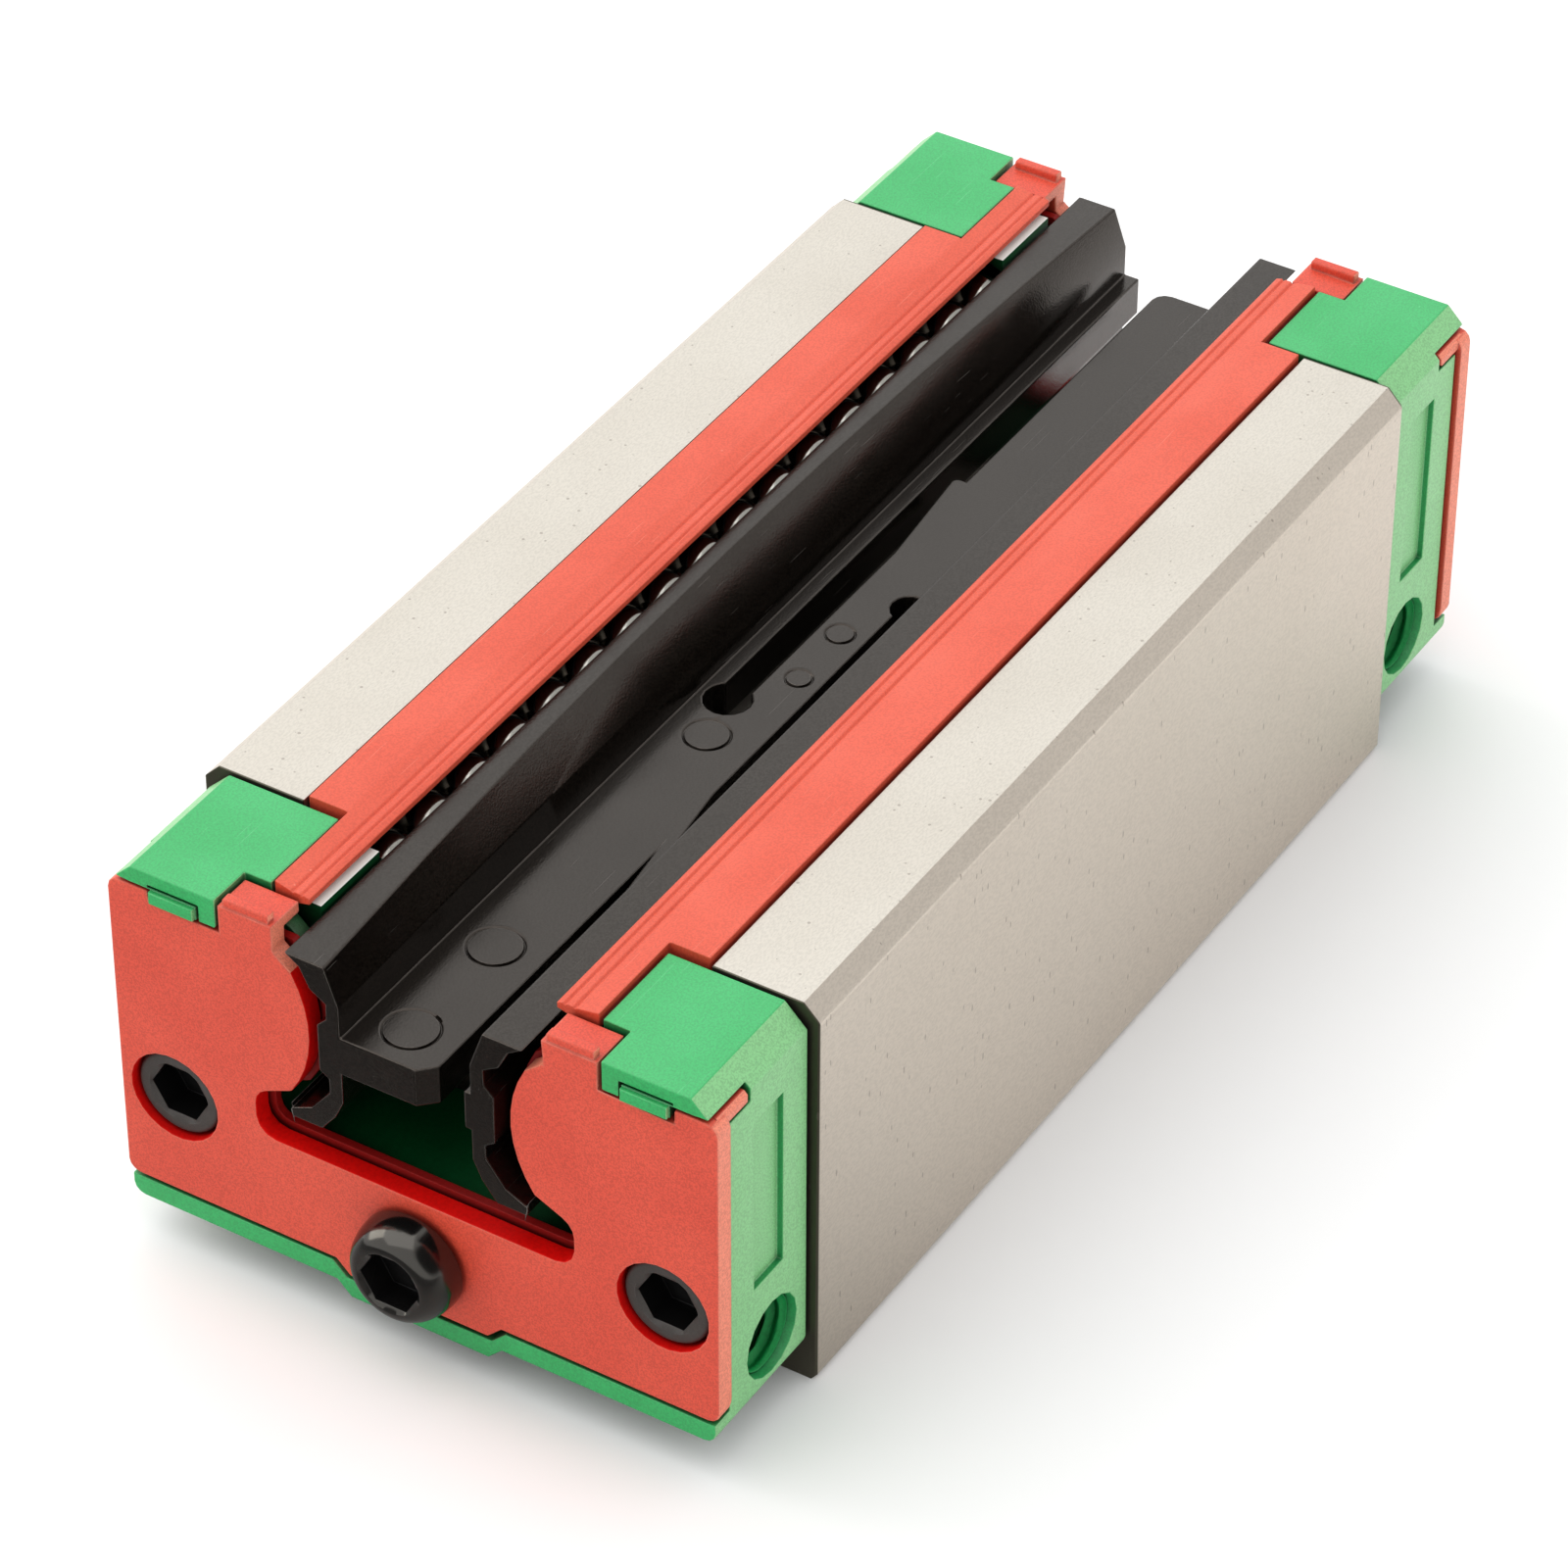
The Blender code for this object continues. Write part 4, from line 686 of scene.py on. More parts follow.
class Wardrobe:
    """Keeps each finish's material, so that it is built once."""

    def __init__(self, effects: Effects) -> None:
        """Start with no materials.

        Args:
            effects: The shared node groups.
        """
        self.effects = effects
        self.materials: dict[str, bpy.types.Material] = {}

    def material(self, finish: Finish) -> bpy.types.Material:
        """Find the finish's material, or build it at its first use.

        Args:
            finish: The finish.

        Returns:
            Its material.
        """
        if finish.name not in self.materials:
            self.materials[finish.name] = finish.material(self.effects)
        return self.materials[finish.name]

    def dress(self, piece: bpy.types.Object, finish: Finish, body: Body, *nodes: str) -> bpy.types.Object:
        """Give a new piece its finish and its body.

        Args:
            piece: The new piece.
            finish: Its finish.
            body: The body that it rides on.
            nodes: The CAD nodes that it stands for.

        Returns:
            The piece.
        """
        piece.data.materials.clear()
        piece.data.materials.append(self.material(finish))
        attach(piece, body.value)
        if nodes:
            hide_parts(*nodes)
        LOG.info("built %s in %s", piece.name, finish.name)
        return piece

    def inlay(self, piece: bpy.types.Object, finish: Finish,
              chosen: Callable[[bpy.types.MeshPolygon], bool]) -> None:
        """Give some faces of a dressed piece a second finish.

        Args:
            piece: The piece.
            finish: The second finish.
            chosen: Tells whether a face gets it.
        """
        piece.data.materials.append(self.material(finish))
        for face in piece.data.polygons:
            face.material_index = int(chosen(face))

    def repaint(self, node: str, finish: Finish) -> None:
        """Give a carried-over CAD node a finish in its own slots.

        Args:
            node: The CAD node.
            finish: Its finish.
        """
        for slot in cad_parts[node].material_slots:
            slot.material = self.material(finish)
        LOG.info("dressed %s in %s", node, finish.name)


# Meshes

def add_object(name: str, bm: bmesh.types.BMesh, turn: float = SMOOTH_ANGLE) -> bpy.types.Object:
    """Turn a bmesh into an object of the scene, shaded smooth where it is round.

    Args:
        name: The object's name.
        bm: The bmesh, which is freed.
        turn: Edges that turn more than this many degrees are shaded sharp.

    Returns:
        The new object.
    """
    mesh = bpy.data.meshes.new(name)
    bmesh.ops.recalc_face_normals(bm, faces=bm.faces)
    bm.to_mesh(mesh)
    bm.free()
    mesh.shade_smooth()
    mesh.set_sharp_from_angle(angle=math.radians(turn))
    piece = bpy.data.objects.new(name, mesh)
    bpy.context.scene.collection.objects.link(piece)
    return piece


def welded(node: str) -> bmesh.types.BMesh:
    """Read a CAD node's mesh with its split points joined and its flat faces whole.

    Args:
        node: The CAD node.

    Returns:
        The bmesh.
    """
    bm = bmesh.new()
    bm.from_mesh(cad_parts[node].data)
    bmesh.ops.remove_doubles(bm, verts=bm.verts, dist=WELD)
    bmesh.ops.dissolve_limit(bm, angle_limit=math.radians(0.5), verts=bm.verts, edges=bm.edges)
    return bm


def soften(bm: bmesh.types.BMesh, width: float, clear: float = 0.0, angle: float = 28.0,
           chosen: Callable[[bmesh.types.BMEdge], bool] = lambda edge: True) -> bmesh.types.BMesh:
    """Round the sharp edges of a bmesh.

    Args:
        bm: The bmesh.
        width: How far the rounding reaches from an edge, in metres.
        clear: Edges with another corner nearer than this to one of their ends stay sharp.
        angle: Edges that turn less than this many degrees stay as they are.
        chosen: Tells whether an edge may be rounded.

    Returns:
        The same bmesh.
    """
    corners = KDTree(len(bm.verts))
    for number, vert in enumerate(bm.verts):
        corners.insert(vert.co, number)
    corners.balance()
    crowded = {vert for vert in bm.verts if clear and len(corners.find_range(vert.co, clear)) > 1}
    sharp = [edge for edge in bm.edges
             if len(edge.link_faces) == 2 and edge.calc_face_angle() > math.radians(angle)
             and chosen(edge) and crowded.isdisjoint(edge.verts)]
    bmesh.ops.bevel(bm, geom=sharp, offset=width, segments=2, profile=0.5, affect="EDGES",
                    clamp_overlap=False, offset_type="OFFSET")
    return bm


def finished(name: str, bm: bmesh.types.BMesh, turn: float = SMOOTH_ANGLE) -> bpy.types.Object:
    """Turn a softened bmesh into an object whose flat faces stay flat.

    Args:
        name: The object's name.
        bm: The bmesh, which is freed.
        turn: Edges that turn more than this many degrees are shaded sharp.

    Returns:
        The new piece.
    """
    piece = add_object(name, bm, turn)
    piece.modifiers.new("Flat faces", "WEIGHTED_NORMAL").keep_sharp = True
    return piece


def carve(piece: bpy.types.Object, cutters: Sequence[bpy.types.Object]) -> None:
    """Cut a piece with others, which are then removed.

    Args:
        piece: The piece.
        cutters: What is cut away.
    """
    for cutter in cutters:
        step = piece.modifiers.new(cutter.name, "BOOLEAN")
        step.object = cutter
        step.solver = "EXACT"
    graph = bpy.context.evaluated_depsgraph_get()
    mesh = bpy.data.meshes.new_from_object(piece.evaluated_get(graph))
    piece.modifiers.clear()
    piece.data = mesh
    for cutter in cutters:
        bpy.data.objects.remove(cutter)


@dataclass(frozen=True)
class Ring:
    """One loop of a turned piece.

    Attributes:
        radius: Its radius, or half its width across flats.
        height: Its place along the axis.
        hexagon: Whether it is six-sided.
    """

    radius: float
    height: float
    hexagon: bool = False

    def points(self, count: int) -> list[Vector]:
        """Place the loop's points.

        Args:
            count: Number of points, a multiple of six.

        Returns:
            The points round the local Z axis.
        """
        places = []
        for i in range(count):
            angle = 2 * math.pi * i / count
            reach = self.radius
            if self.hexagon:
                reach /= math.cos(angle % (math.pi / 3) - math.pi / 6)
            places.append(Vector((reach * math.cos(angle), reach * math.sin(angle), self.height)))
        return places


def lofted(name: str, rows: Sequence[Sequence[Vector]], origin: Vector, axis: Vector,
           hollow: bool = False) -> bpy.types.Object:
    """Build a piece from loops of points round an axis.

    Args:
        name: The piece's name.
        rows: The loops' points in order along the surface, round the local Z axis.
        origin: Where the local origin lies.
        axis: The direction of the local Z axis.
        hollow: Whether the last loop joins the first, where both would be filled otherwise.

    Returns:
        The new piece.
    """
    bm = bmesh.new()
    stand = Matrix.Translation(origin) @ axis.to_track_quat("Z", "Y").to_matrix().to_4x4()
    loops = [[bm.verts.new(stand @ point) for point in row] for row in rows]
    for here, there in zip(loops, loops[1:] + loops[:1] if hollow else loops[1:]):
        for i in range(len(here)):
            bm.faces.new((here[i - 1], here[i], there[i], there[i - 1]))
    if not hollow:
        bm.faces.new(loops[0])
        bm.faces.new(loops[-1])
    return add_object(name, bm)


def arch(radius: float, rise: float, start: float, steps: int) -> list[tuple[float, float]]:
    """Place the points of a quarter of an ellipse, from the crown outward.

    Args:
        radius: How far it reaches outward from start.
        rise: How far it falls.
        start: Where it begins.
        steps: Number of steps.

    Returns:
        Radius and drop of each point.
    """
    angles = [math.pi / 2 * i / steps for i in range(steps + 1)]
    return [(start + radius * math.sin(a), rise * (1 - math.cos(a))) for a in angles]


# Sub-assemblies

@dataclass
class SocketScrew:
    """A turned screw with a hexagon socket, sized by the CAD node that it replaces.

    Attributes:
        node: The CAD node.
        finish: Its finish.
        head: Radius of the head.
        head_height: Height of the head.
        shank: Radius of the shank.
        socket: Width of the socket across flats.
        socket_depth: Depth of the socket.
        crown: Radius of the flat on top of the head, or 0 where the head is flat.
        rounding: Rounding of the head's rim.
    """

    node: str
    finish: Finish
    head: float = 3.3 * MM
    head_height: float = 3.0 * MM
    shank: float = 2.0 * MM
    socket: float = 4.0 * MM
    socket_depth: float = 2.5 * MM
    crown: float = 0.0
    rounding: float = 0.35 * MM

    def build(self, wardrobe: Wardrobe) -> None:
        """Build and dress the screw.

        Args:
            wardrobe: The materials.
        """
        low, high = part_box(self.node)
        outward = math.copysign(1.0, low.x + high.x)
        face = max(abs(low.x), abs(high.x))
        centre = (low + high) / 2
        origin = Vector((outward * face, centre.y, centre.z))
        rows = [ring.points(72) for ring in self.rings(high.x - low.x)]
        piece = lofted(self.node + "_fine", rows, origin, Vector((outward, 0, 0)))
        wardrobe.dress(piece, self.finish, Body.CARRIAGE, self.node)

        def in_socket(polygon: bpy.types.MeshPolygon) -> bool:
            """Tell whether a face lies in the socket."""
            away = polygon.center - origin
            return abs(away.x) > 0.3 * MM and away.yz.length < self.socket * 0.6

        # Painted shade: the faces inside the socket take the near-black finish.
        wardrobe.inlay(piece, SOCKET_SHADE, in_socket)

    def rings(self, length: float) -> list[Ring]:
        """List the screw's loops from its tip to the bottom of its socket.

        Args:
            length: Length of the screw.

        Returns:
            The loops, with the top of the head at height 0.
        """
        head = self.head
        start = self.crown if self.crown else head - self.rounding
        rise = self.head_height - self.rounding if self.crown else self.rounding
        dome = [Ring(radius, -drop) for radius, drop in arch(head - start, rise, start, 12)]
        corner = self.socket / 2 / math.cos(math.pi / 6)
        lead = 0.12 * MM
        rings = [Ring(self.shank - 0.3 * MM, -length), Ring(self.shank, 0.3 * MM - length),
                 Ring(self.shank, -self.head_height), Ring(head - self.rounding / 2, -self.head_height),
                 Ring(head, self.rounding / 2 - self.head_height)]
        rings += dome[::-1]
        rings += [Ring(corner + lead, 0), Ring(self.socket / 2, -2 * lead, True),
                  Ring(self.socket / 2, -self.socket_depth, True),
                  Ring(self.socket * 0.36, -self.socket_depth), Ring(0.2 * MM, -self.socket_depth - self.socket / 8)]
        return rings


@dataclass
class PortThread:
    """The internal thread of a cap's side port.

    Attributes:
        end: front or rear.
        side: left or right.
        out: How far the port lies from the cap's inner face.
        rise: Height of the port above the mounting face.
        sink: How far the thread starts below the cap's side.
        depth: Length of the thread.
        wall: Radius of the sleeve that carries the thread, at its deep end.
        flare: How much wider the sleeve is at the port's mouth.
        crest: Inner radius of the thread, at its deep end.
        pitch: Pitch of the thread.
        wide: Radius of the real port where the thread begins.
    """

    end: str
    side: str
    out: float = 4.2 * MM
    rise: float = 7.4 * MM
    sink: float = 0.6 * MM
    depth: float = 5.6 * MM
    wall: float = 2.34 * MM
    flare: float = 0.45 * MM
    crest: float = 1.92 * MM
    pitch: float = 0.9 * MM
    wide: float = 2.9 * MM

    def build(self, wardrobe: Wardrobe) -> None:
        """Build and dress the thread.

        Args:
            wardrobe: The materials.
        """
        low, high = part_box(self.end + "_end_cap")
        outward = Vector((0, 1 if self.side == "left" else -1, 0))
        back = low.x if low.x > 0 else high.x
        origin = Vector((back + math.copysign(self.out, back), outward.y * (high.y - self.sink), self.rise))
        name = f"{self.end}_{self.side}_port_thread"
        # The thread takes the darker green, painted shade inside the port.
        wardrobe.dress(lofted(name, self.loops(), origin, outward, hollow=True), GREEN_PORT_SHADE, Body.CARRIAGE)

    def loops(self, count: int = 48, steps: int = 8) -> list[list[Vector]]:
        """Place the points of a sleeve whose inside is a helical thread.

        Args:
            count: Number of points round it.
            steps: Number of loops in one pitch.

        Returns:
            The loops, from the outer rim along the inside and back to the rim.
        """
        rows = round(self.depth / self.pitch * steps)
        loops = []
        for row in range(rows + 1):
            fade = min(1.0, row / steps, (rows - row) / steps)
            loop = []
            for i in range(count):
                phase = (row / steps - i / count) % 1.0
                ridge = max(0.0, 1 - abs(2 * phase - 1) * 1.25) * fade
                reach = self.wall + self.flare * (1 - row / rows) - 0.04 * MM - (self.wall - self.crest) * ridge
                angle = 2 * math.pi * i / count
                loop.append(Vector((reach * math.cos(angle), reach * math.sin(angle), -row / steps * self.pitch)))
            loops.append(loop)
        return loops + [Ring(self.wall, -self.depth).points(count), Ring(self.wall + self.flare, 0.0).points(count)]


@dataclass
class BallCircuit:
    """One closed circuit of steel balls.

    Attributes:
        side: left or right.
        level: upper or lower.
        diameter: Diameter of a ball.
        turn: Radius of the circuit's turns.
        gap: How far the turns start beyond the steel's end faces.
        sink: How far the balls hang below the middle of the CAD row.
        segments: Number of points round a ball.
    """

    side: str
    level: str
    diameter: float = 4.76 * MM
    turn: float = 3.65 * MM
    gap: float = 0.3 * MM
    sink: float = 0.1 * MM
    segments: int = 28

    def build(self, wardrobe: Wardrobe) -> None:
        """Build and dress the balls as one piece.

        Args:
            wardrobe: The materials.
        """
        node = f"{self.side}_{self.level}_ball_row"
        low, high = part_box(node)
        centre = (low + high) / 2 - Vector((0, 0, self.sink))
        straight = 2 * (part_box("carriage_block")[1].x + self.gap)
        length = 2 * straight + 2 * math.pi * self.turn
        count = int(length // self.diameter)
        ball = bmesh.new()
        bmesh.ops.create_uvsphere(ball, u_segments=self.segments, v_segments=self.segments // 2,
                                  radius=self.diameter / 2)
        points, faces = [], []
        for i in range(count):
            place = centre + self.offset((i + 0.5) * length / count, straight)
            faces += [[vert.index + len(points) for vert in face.verts] for face in ball.faces]
            points += [vert.co + place for vert in ball.verts]
        ball.free()
        mesh = bpy.data.meshes.new(node + "_fine")
        mesh.from_pydata(points, [], faces)
        row = bmesh.new()
        row.from_mesh(mesh)
        bpy.data.meshes.remove(mesh)
        wardrobe.dress(add_object(node + "_fine", row), BALL_CHROME, Body.CARRIAGE, node)

    def offset(self, distance: float, straight: float) -> Vector:
        """Find a place on the circuit from its centre.

        Args:
            distance: How far along the circuit it is.
            straight: Length of a straight stretch.

        Returns:
            The offset from the circuit's centre.
        """
        inward = -1 if self.side == "left" else 1
        bend = math.pi * self.turn
        half, distance = divmod(distance, straight + bend)
        if distance < straight:
            place = Vector((distance - straight / 2, inward * self.turn, 0))
        else:
            angle = (distance - straight) / self.turn
            place = Vector((straight / 2 + self.turn * math.sin(angle), inward * self.turn * math.cos(angle), 0))
        return Vector((-place.x, -place.y, 0)) if half else place


@dataclass
class SteelBody:
    """The ground steel carriage.

    Attributes:
        edge: Rounding of its long edges.
        end_edge: Rounding of the edges round its end faces.
    """

    edge: float = 0.04 * MM
    end_edge: float = 0.20 * MM

    def build(self, wardrobe: Wardrobe) -> None:
        """Dress the steel.

        Args:
            wardrobe: The materials.
        """
        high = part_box("carriage_block")[1]

        def outer_end(edge: bmesh.types.BMEdge) -> bool:
            """Tell whether an edge lies on an end face's outer side."""
            return all(abs(v.co.x) > high.x - WELD and abs(v.co.y) > high.y - WELD for v in edge.verts)

        bm = soften(welded("carriage_block"), self.end_edge, chosen=outer_end)
        piece = finished("carriage_block_fine", soften(bm, self.edge, angle=50), RIDGE_ANGLE)
        wardrobe.dress(piece, GROUND_STEEL, Body.CARRIAGE, "carriage_block")


@dataclass
class EndAssembly:
    """One end: cap, seal plate and lip, return guides, screws, plug and port threads.

    Attributes:
        end: front or rear.
        cap_edge: Rounding of the cap's edges.
        plate_edge: Rounding of the seal plate's edges.
        mouth: How far from the middle the shaded faces of the rail opening reach.
        holes: The same for the plate, whose screw holes are shaded too.
        mouth_low: Height of the opening's floor, less a little.
        hook_low: Between which heights the undersides of the plate's corner hooks and their slots lie.
        hook_high: Between which heights the tops of the hooks and of their slots lie.
        hook_lift: How much higher the undersides are on the real part.
        hook_drop: How much lower the tops are on the real part.
        guide_edge: Height of a return guide's upper edge, which shows beside the seal strip.
        guide_reach: How much nearer to the rail a return guide's inner face lies.
    """

    end: str
    cap_edge: float = 0.10 * MM
    plate_edge: float = 0.12 * MM
    mouth: float = 13.0 * MM
    holes: float = 22.9 * MM
    mouth_low: float = 8.0 * MM
    hook_low: tuple[float, float] = (29.4 * MM, 29.9 * MM)
    hook_high: tuple[float, float] = (31.25 * MM, 31.65 * MM)
    hook_lift: float = 0.25 * MM
    hook_drop: float = 0.4 * MM
    guide_edge: float = 31.4 * MM
    guide_reach: float = 0.15 * MM

    def build(self, wardrobe: Wardrobe) -> None:
        """Build and dress every piece of the end.

        Args:
            wardrobe: The materials.
        """
        self.shell(wardrobe, self.end + "_end_cap", self.cap_edge, GREEN_PLASTIC, GREEN_SHADE)
        self.shell(wardrobe, self.end + "_end_seal", self.plate_edge, RED_PLASTIC, RED_SHADE)
        wardrobe.repaint(self.end + "_seal_lip", SEAL_RUBBER)
        SocketScrew(self.end + "_port_plug", GLOSS_BLACK, head=4.0 * MM, shank=2.3 * MM, socket=4.1 * MM,
                    socket_depth=2.3 * MM, crown=2.55 * MM).build(wardrobe)
        for side in SIDES:
            self.guide(wardrobe, f"{self.end}_{side}_return_guide")
            SocketScrew(f"{self.end}_{side}_end_screw", BLACK_OXIDE).build(wardrobe)
            PortThread(self.end, side).build(wardrobe)

    def shell(self, wardrobe: Wardrobe, node: str, edge: float, outside: Finish, shade: Finish) -> None:
        """Build and dress the cap or the seal plate, with its opening's faces in painted shade.

        Args:
            wardrobe: The materials.
            node: The CAD node.
            edge: Rounding of its edges.
            outside: The finish of its outside.
            shade: The painted-shade finish of the opening's faces.
        """
        reach = self.holes if outside is RED_PLASTIC else self.mouth
        bm = welded(node)
        self.thin_hooks(bm)
        if outside is GREEN_PLASTIC:
            self.widen_ports(bm)
        piece = finished(node + "_fine", soften(bm, edge, clear=3 * edge))
        wardrobe.dress(piece, outside, Body.CARRIAGE, node)

        def in_mouth(face: bpy.types.MeshPolygon) -> bool:
            """Tell whether a face belongs to the rail opening."""
            centre = face.center
            return (abs(centre.y) < reach and self.mouth_low < centre.z < self.hook_low[0]
                    and abs(face.normal.x) < 0.5)

        # Painted shade: the opening's faces take the darker shade finish.
        wardrobe.inlay(piece, shade, in_mouth)

    def thin_hooks(self, bm: bmesh.types.BMesh) -> None:
        """Make the plate's corner hooks, or the cap's slots for them, as slender as the real ones.

        Args:
            bm: The plate's or the cap's bmesh.
        """
        for vert in bm.verts:
            if abs(vert.co.y) < 21.6 * MM:
                continue
            if self.hook_low[0] < vert.co.z < self.hook_low[1]:
                vert.co.z += self.hook_lift
            elif self.hook_high[0] < vert.co.z < self.hook_high[1]:
                vert.co.z -= self.hook_drop
                if abs(vert.co.y) > 22.3 * MM:
                    vert.co.y += math.copysign(self.hook_drop, vert.co.y)
        bmesh.ops.remove_doubles(bm, verts=bm.verts, dist=0.02 * MM)

    def widen_ports(self, bm: bmesh.types.BMesh) -> None:
        """Widen the mouths of the cap's side ports, which are tapered on the real part.

        Args:
            bm: The cap's bmesh.
        """
        port = PortThread(self.end, "left")
        sides = [vert.co.x for vert in bm.verts]
        back = min(sides, key=abs)
        centre = Vector((back + math.copysign(port.out, back), port.rise))
        rim = max(vert.co.y for vert in bm.verts)
        for vert in bm.verts:
            spoke = Vector((vert.co.x, vert.co.z)) - centre
            bore = spoke.length < port.wall + port.flare / 2
            if bore and abs(vert.co.y) > rim - port.depth:
                vert.co.x, vert.co.z = centre + spoke * port.wide / spoke.length

    def guide(self, wardrobe: Wardrobe, node: str) -> None:
        """Build and dress a return guide; its upper edge shows white in the gap, the rest is painted shade.

        Args:
            wardrobe: The materials.
            node: The CAD node.
        """
        bm = welded(node)
        top = max(vert.co.z for vert in bm.verts)
        inner = min(abs(vert.co.y) for vert in bm.verts)
        for vert in bm.verts:
            if vert.co.z > top - 0.01 * MM:
                vert.co.z = self.guide_edge
            if abs(vert.co.y) < inner + 0.01 * MM:
                vert.co.y -= math.copysign(self.guide_reach, vert.co.y)
        piece = finished(node + "_fine", bm)
        wardrobe.dress(piece, WHITE_PLASTIC, Body.CARRIAGE, node)
        # Painted shade: faces that don't look up take the dark green shade finish.
        wardrobe.inlay(piece, GREEN_SHADE, lambda face: face.normal.z < 0.7)


@dataclass
class SideAssembly:
    """One side: seal strip, retainers, ball circuits and return tubes.

    Attributes:
        side: left or right.
        strip_edge: Rounding of the strip's edges.
        strip_trim: How far the strip's inner rim is drawn back.
        strip_rim: How far the rim reaches from the middle.
    """

    side: str
    strip_edge: float = 0.05 * MM
    strip_trim: float = 0.0
    strip_rim: float = 11.0 * MM

    def build(self, wardrobe: Wardrobe) -> None:
        """Build and dress every piece of the side.

        Args:
            wardrobe: The materials.
        """
        strip = self.side + "_seal_strip"
        bm = welded(strip)
        for vert in bm.verts:
            if abs(vert.co.y) < self.strip_rim:
                vert.co.y += math.copysign(self.strip_trim, vert.co.y)
        piece = finished(strip + "_fine", soften(bm, self.strip_edge))
        wardrobe.dress(piece, RED_STRIP, Body.CARRIAGE, strip)
        # The upper retainer is near-black: painted shade in the gap over the balls.
        wardrobe.repaint(self.side + "_upper_retainer", RETAINER_SHADE)
        wardrobe.repaint(self.side + "_lower_retainer", RAIL_PLASTIC)
        for level in LEVELS:
            BallCircuit(self.side, level).build(wardrobe)
            wardrobe.repaint(f"{self.side}_{level}_return_tube", WHITE_PLASTIC)


@dataclass
class ShippingRail:
    """The moulded rail between the ball rows, with the round marks of its mould's pins.

    Attributes:
        edge: Rounding of its edges.
        floor_drop: How far its floor lies below the steel's top face.
        mark_depth: Depth of the groove round a pin mark.
        mark_width: Width of that groove.
        marks: X, Y and radius of each pin mark.
    """

    edge: float = 0.12 * MM
    floor_drop: float = 7.0 * MM
    mark_depth: float = 0.22 * MM
    mark_width: float = 0.32 * MM
    marks: Sequence[Point] = field(default_factory=lambda: (
        (-48.4 * MM, 1.7 * MM, 2.0 * MM), (-38.6 * MM, 1.7 * MM, 2.0 * MM), (-12.3 * MM, 1.9 * MM, 1.7 * MM),
        (-3.6 * MM, -0.1 * MM, 1.0 * MM), (2.2 * MM, 0.1 * MM, 1.1 * MM)))

    def build(self, wardrobe: Wardrobe) -> None:
        """Build and dress the rail.

        Args:
            wardrobe: The materials.
        """
        piece = add_object("shipping_rail_fine", soften(welded("shipping_rail"), self.edge))
        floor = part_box("carriage_block")[1].z - self.floor_drop
        up = Vector((0, 0, 1))
        pins = [lofted(f"pin_{i}", self.groove(r), Vector((x, y, floor)), up, hollow=True)
                for i, (x, y, r) in enumerate(self.marks)]
        carve(piece, pins)
        piece.data.set_sharp_from_angle(angle=math.radians(RIDGE_ANGLE))
        piece.modifiers.new("Flat faces", "WEIGHTED_NORMAL").keep_sharp = True
        wardrobe.dress(piece, RAIL_PLASTIC, Body.RAIL, "shipping_rail")

    def groove(self, radius: float) -> list[list[Vector]]:
        """Place the points of the cutter for the groove round one pin mark.

        Args:
            radius: Radius of the mark.

        Returns:
            The cutter's loops, with the floor at height 0.
        """
        half, top = self.mark_width / 2, self.mark_depth
        rings = (Ring(radius - half, 0), Ring(radius - half / 3, -self.mark_depth), Ring(radius + half, 0),
                 Ring(radius + half, top), Ring(radius - half, top))
        return [ring.points(72) for ring in rings]


# Studio and camera

@dataclass(frozen=True)
class SoftBox:
    """A soft square lamp that points at the part.

    Attributes:
        name: Its name.
        place: Where it hangs.
        size: Length of its side.
        power: Its power in watts.
        colour: Its colour.
    """

    name: str
    place: Point
    size: float
    power: float
    colour: Colour

    def build(self) -> None:
        """Hang the lamp."""
        light = bpy.data.lights.new(self.name, "AREA")
        light.size = self.size
        light.energy = self.power
        light.color = self.colour
        lamp = bpy.data.objects.new(self.name, light)
        lamp.location = self.place
        lamp.rotation_euler = Vector(self.place).to_track_quat("Z", "Y").to_euler()
        bpy.context.scene.collection.objects.link(lamp)
        LOG.info("hung lamp %s", self.name)


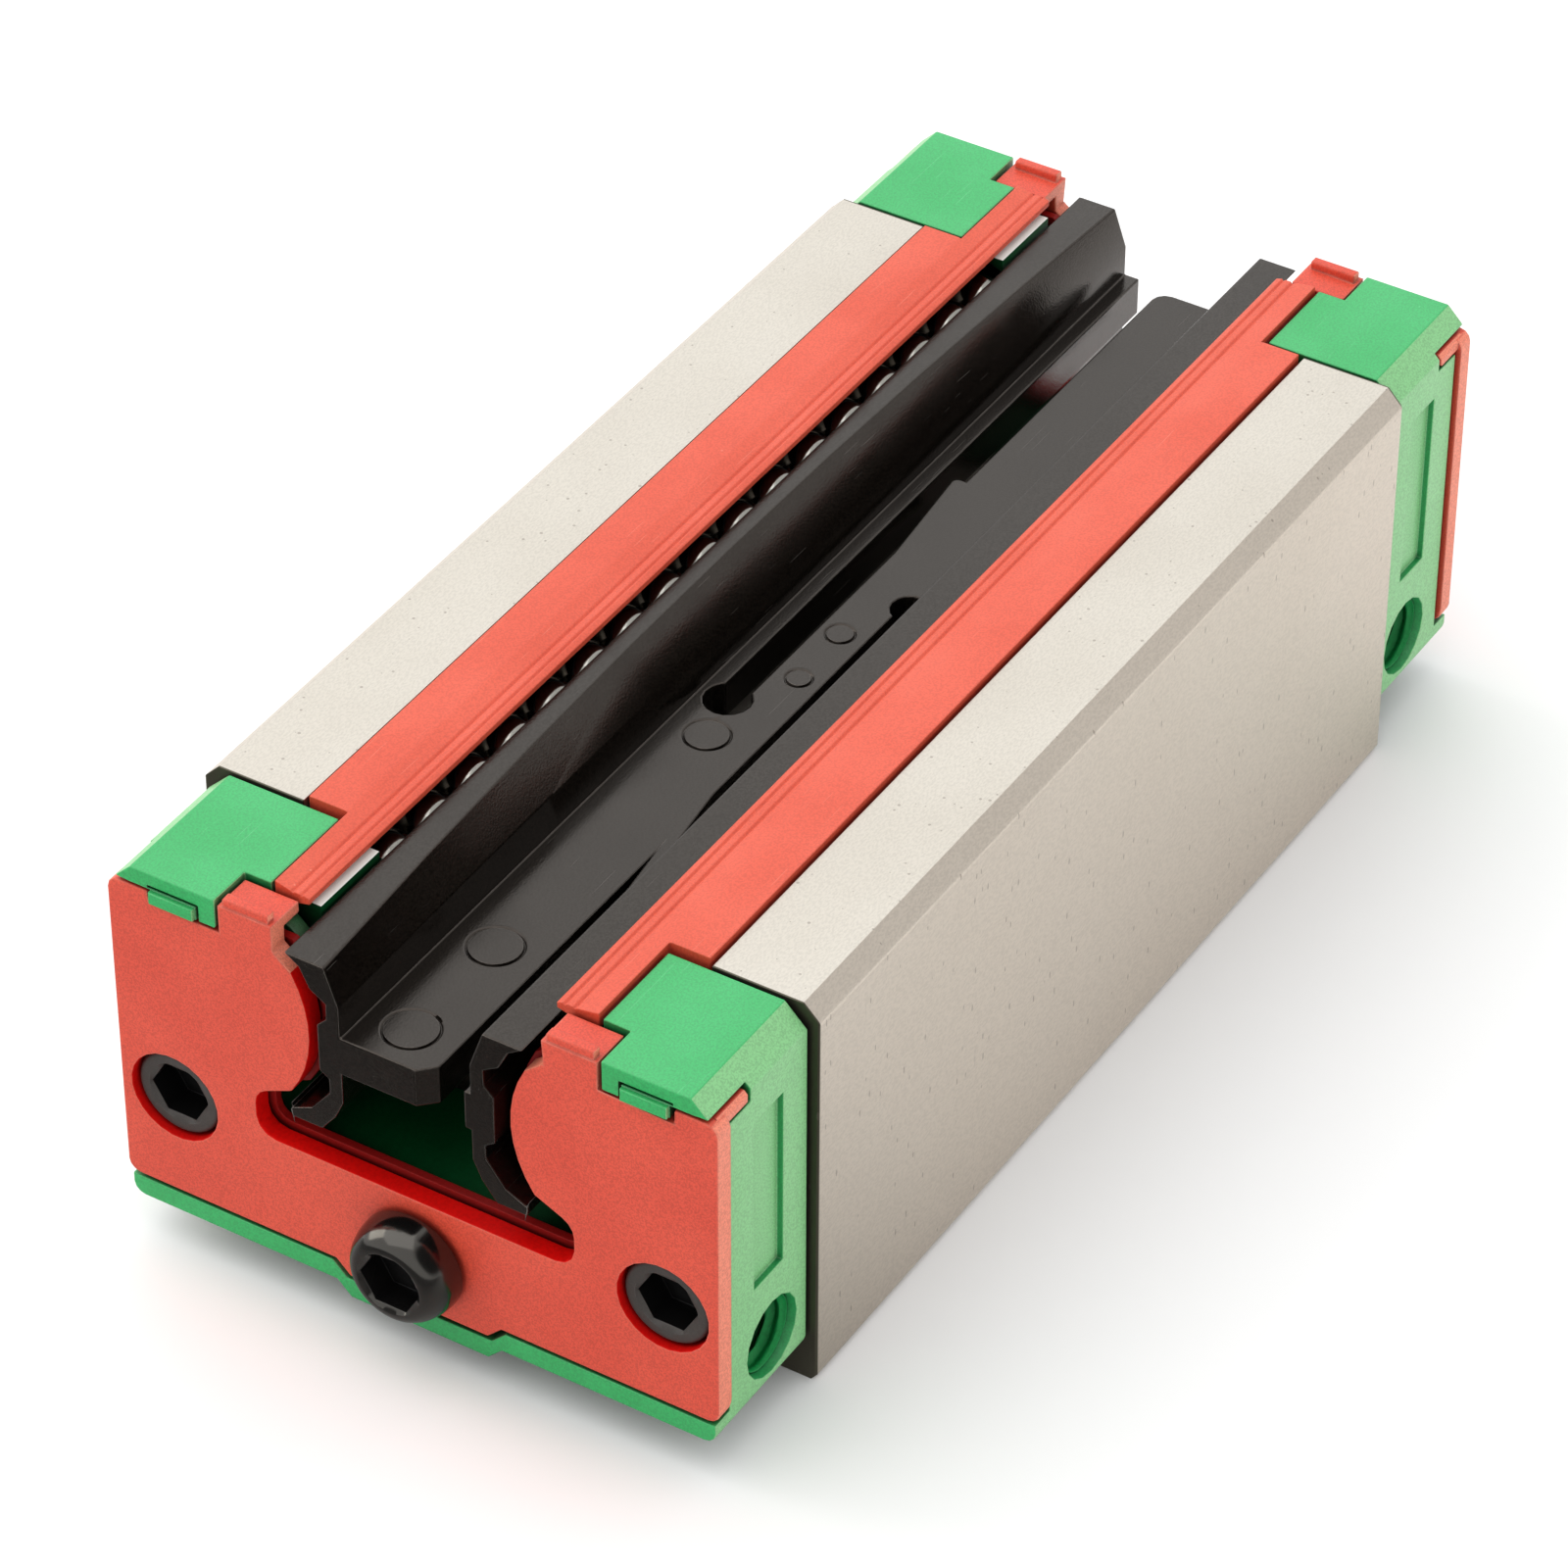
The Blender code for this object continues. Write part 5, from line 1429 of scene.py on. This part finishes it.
@dataclass
class Studio:
    """Pale floor, soft lamps and a white surround.

    Attributes:
        floor_size: Side of the floor.
        dim_side: Direction from which glossy surfaces mirror a dim room.
        dim_level: Brightness of that part of the room.
        floor_tone: Brightness of the floor.
        mirror_tone: Painted shade: brightness of the floor before the near end as glossy surfaces mirror it.
        world_level: Strength of the surround as light.
        lamps: The soft lamps.
    """

    floor_size: float = 3.0
    dim_side: Point = (-0.10, -0.80, 0.59)
    dim_level: float = 0.05
    floor_tone: float = 0.985
    mirror_tone: float = 0.12
    world_level: float = 0.92
    lamps: Sequence[SoftBox] = (
        SoftBox("back_box", (0.80, 0.49, 0.75), 0.9, 1.45, (0.88, 0.96, 1.0)),
        SoftBox("top_box", (-0.15, 0.35, 1.1), 1.3, 4.7, (1.0, 1.0, 1.0)),
        SoftBox("left_box", (-0.085, 0.97, 0.51), 0.6, 2.8, (1.0, 0.96, 0.88)))

    def build(self) -> None:
        """Build the floor, the world and the lamps."""
        self._floor()
        self._world()
        for lamp in self.lamps:
            lamp.build()

    def _floor(self) -> None:
        """Build the floor; it keeps the part's shadow, and glossy rays see painted shade before the near end."""
        bm = bmesh.new()
        bmesh.ops.create_grid(bm, x_segments=1, y_segments=1, size=self.floor_size / 2)
        floor = add_object("floor", bm)
        made = bpy.data.materials.new("floor_paper")
        made.use_nodes = True
        shader = made.node_tree.nodes["Principled BSDF"]
        graph = Graph(made.node_tree)
        split = graph.add("ShaderNodeSeparateXYZ")
        graph.feed(graph.place(), split.inputs[0])
        # Painted shade in reflections: glossy rays see the floor darker before the near end.
        painted_mirror_shade = graph.between(split.outputs["X"], -85 * MM, -5 * MM, self.mirror_tone, self.floor_tone)
        mirrored = graph.add("ShaderNodeLightPath").outputs["Is Glossy Ray"]
        tone = graph.between(mirrored, 0.0, 1.0, self.floor_tone, painted_mirror_shade)
        graph.feed(tone, shader.inputs["Base Color"])
        shader.inputs["Roughness"].default_value = 0.9
        shader.inputs["Specular IOR Level"].default_value = 0.0
        floor.data.materials.append(made)

    def _world(self) -> None:
        """Light the scene from a surround that the camera sees as white."""
        world = bpy.data.worlds.new("surround")
        world.use_nodes = True
        bpy.context.scene.world = world
        graph = Graph(world.node_tree)
        back = world.node_tree.nodes["Background"]
        path = graph.add("ShaderNodeLightPath")
        back.inputs["Color"].default_value = (1.0, 1.0, 1.0, 1.0)
        ahead = graph.add("ShaderNodeTexCoord").outputs["Generated"]
        toward = graph.vector("DOT_PRODUCT", ahead, self.dim_side).outputs["Value"]
        room = graph.between(toward, 0.81, 0.91, self.world_level, self.dim_level)
        light = graph.between(path.outputs["Is Glossy Ray"], 0.0, 1.0, self.world_level, room)
        graph.feed(graph.between(path.outputs["Is Camera Ray"], 0.0, 1.0, light, 1.0), back.inputs["Strength"])


@dataclass
class PhotoCamera:
    """The camera at the photograph's viewing angle.

    Attributes:
        azimuth: Direction round the part in degrees, 0 looks along +Y.
        elevation: Height above the horizon in degrees.
        roll: Turn about the line of sight in degrees.
        distance: Distance from the origin along the line of sight.
        right: How far the line of sight passes to the right of the origin.
        up: How far the line of sight passes above the origin.
        focal_pixels: Focal length in pixels of the photograph.
        photo_pixels: Width of the photograph in pixels.
    """

    azimuth: float = -58.30
    elevation: float = 38.72
    roll: float = 0.157
    distance: float = 478.26 * MM
    right: float = -2.777 * MM
    up: float = 10.609 * MM
    focal_pixels: float = 6793.0
    photo_pixels: float = 1600.0

    def build(self) -> None:
        """Place the camera and make it the scene's own."""
        turn, rise = math.radians(self.azimuth), math.radians(self.elevation)
        back = Vector((math.sin(turn) * math.cos(rise), -math.cos(turn) * math.cos(rise), math.sin(rise)))
        level = Vector((0, 0, 1)).cross(back).normalized()
        upright = back.cross(level)
        tilt = math.radians(self.roll)
        right = math.cos(tilt) * level + math.sin(tilt) * upright
        up = math.cos(tilt) * upright - math.sin(tilt) * level
        data = bpy.data.cameras.new("photo_camera")
        data.sensor_width = 36.0
        data.lens = self.focal_pixels * data.sensor_width / self.photo_pixels
        data.clip_start = 0.01
        data.clip_end = 20.0
        camera = bpy.data.objects.new("photo_camera", data)
        turned_axes = Matrix((right, up, back)).transposed().to_4x4()
        camera.matrix_world = Matrix.Translation(
            right * self.right + up * self.up + back * self.distance) @ turned_axes
        bpy.context.scene.collection.objects.link(camera)
        bpy.context.scene.camera = camera


def main() -> None:
    """Build the studio, the camera and every dressed piece."""
    logging.basicConfig(level=logging.INFO, format="%(name)s: %(message)s")
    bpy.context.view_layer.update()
    bpy.context.scene.view_settings.view_transform = "Standard"
    PhotoCamera().build()
    Studio().build()
    wardrobe = Wardrobe(Effects())
    SteelBody().build(wardrobe)
    for end in ENDS:
        EndAssembly(end).build(wardrobe)
    SideAssembly("left", strip_trim=0.5 * MM).build(wardrobe)
    SideAssembly("right").build(wardrobe)
    ShippingRail().build(wardrobe)


if __name__ == "__main__":
    main()
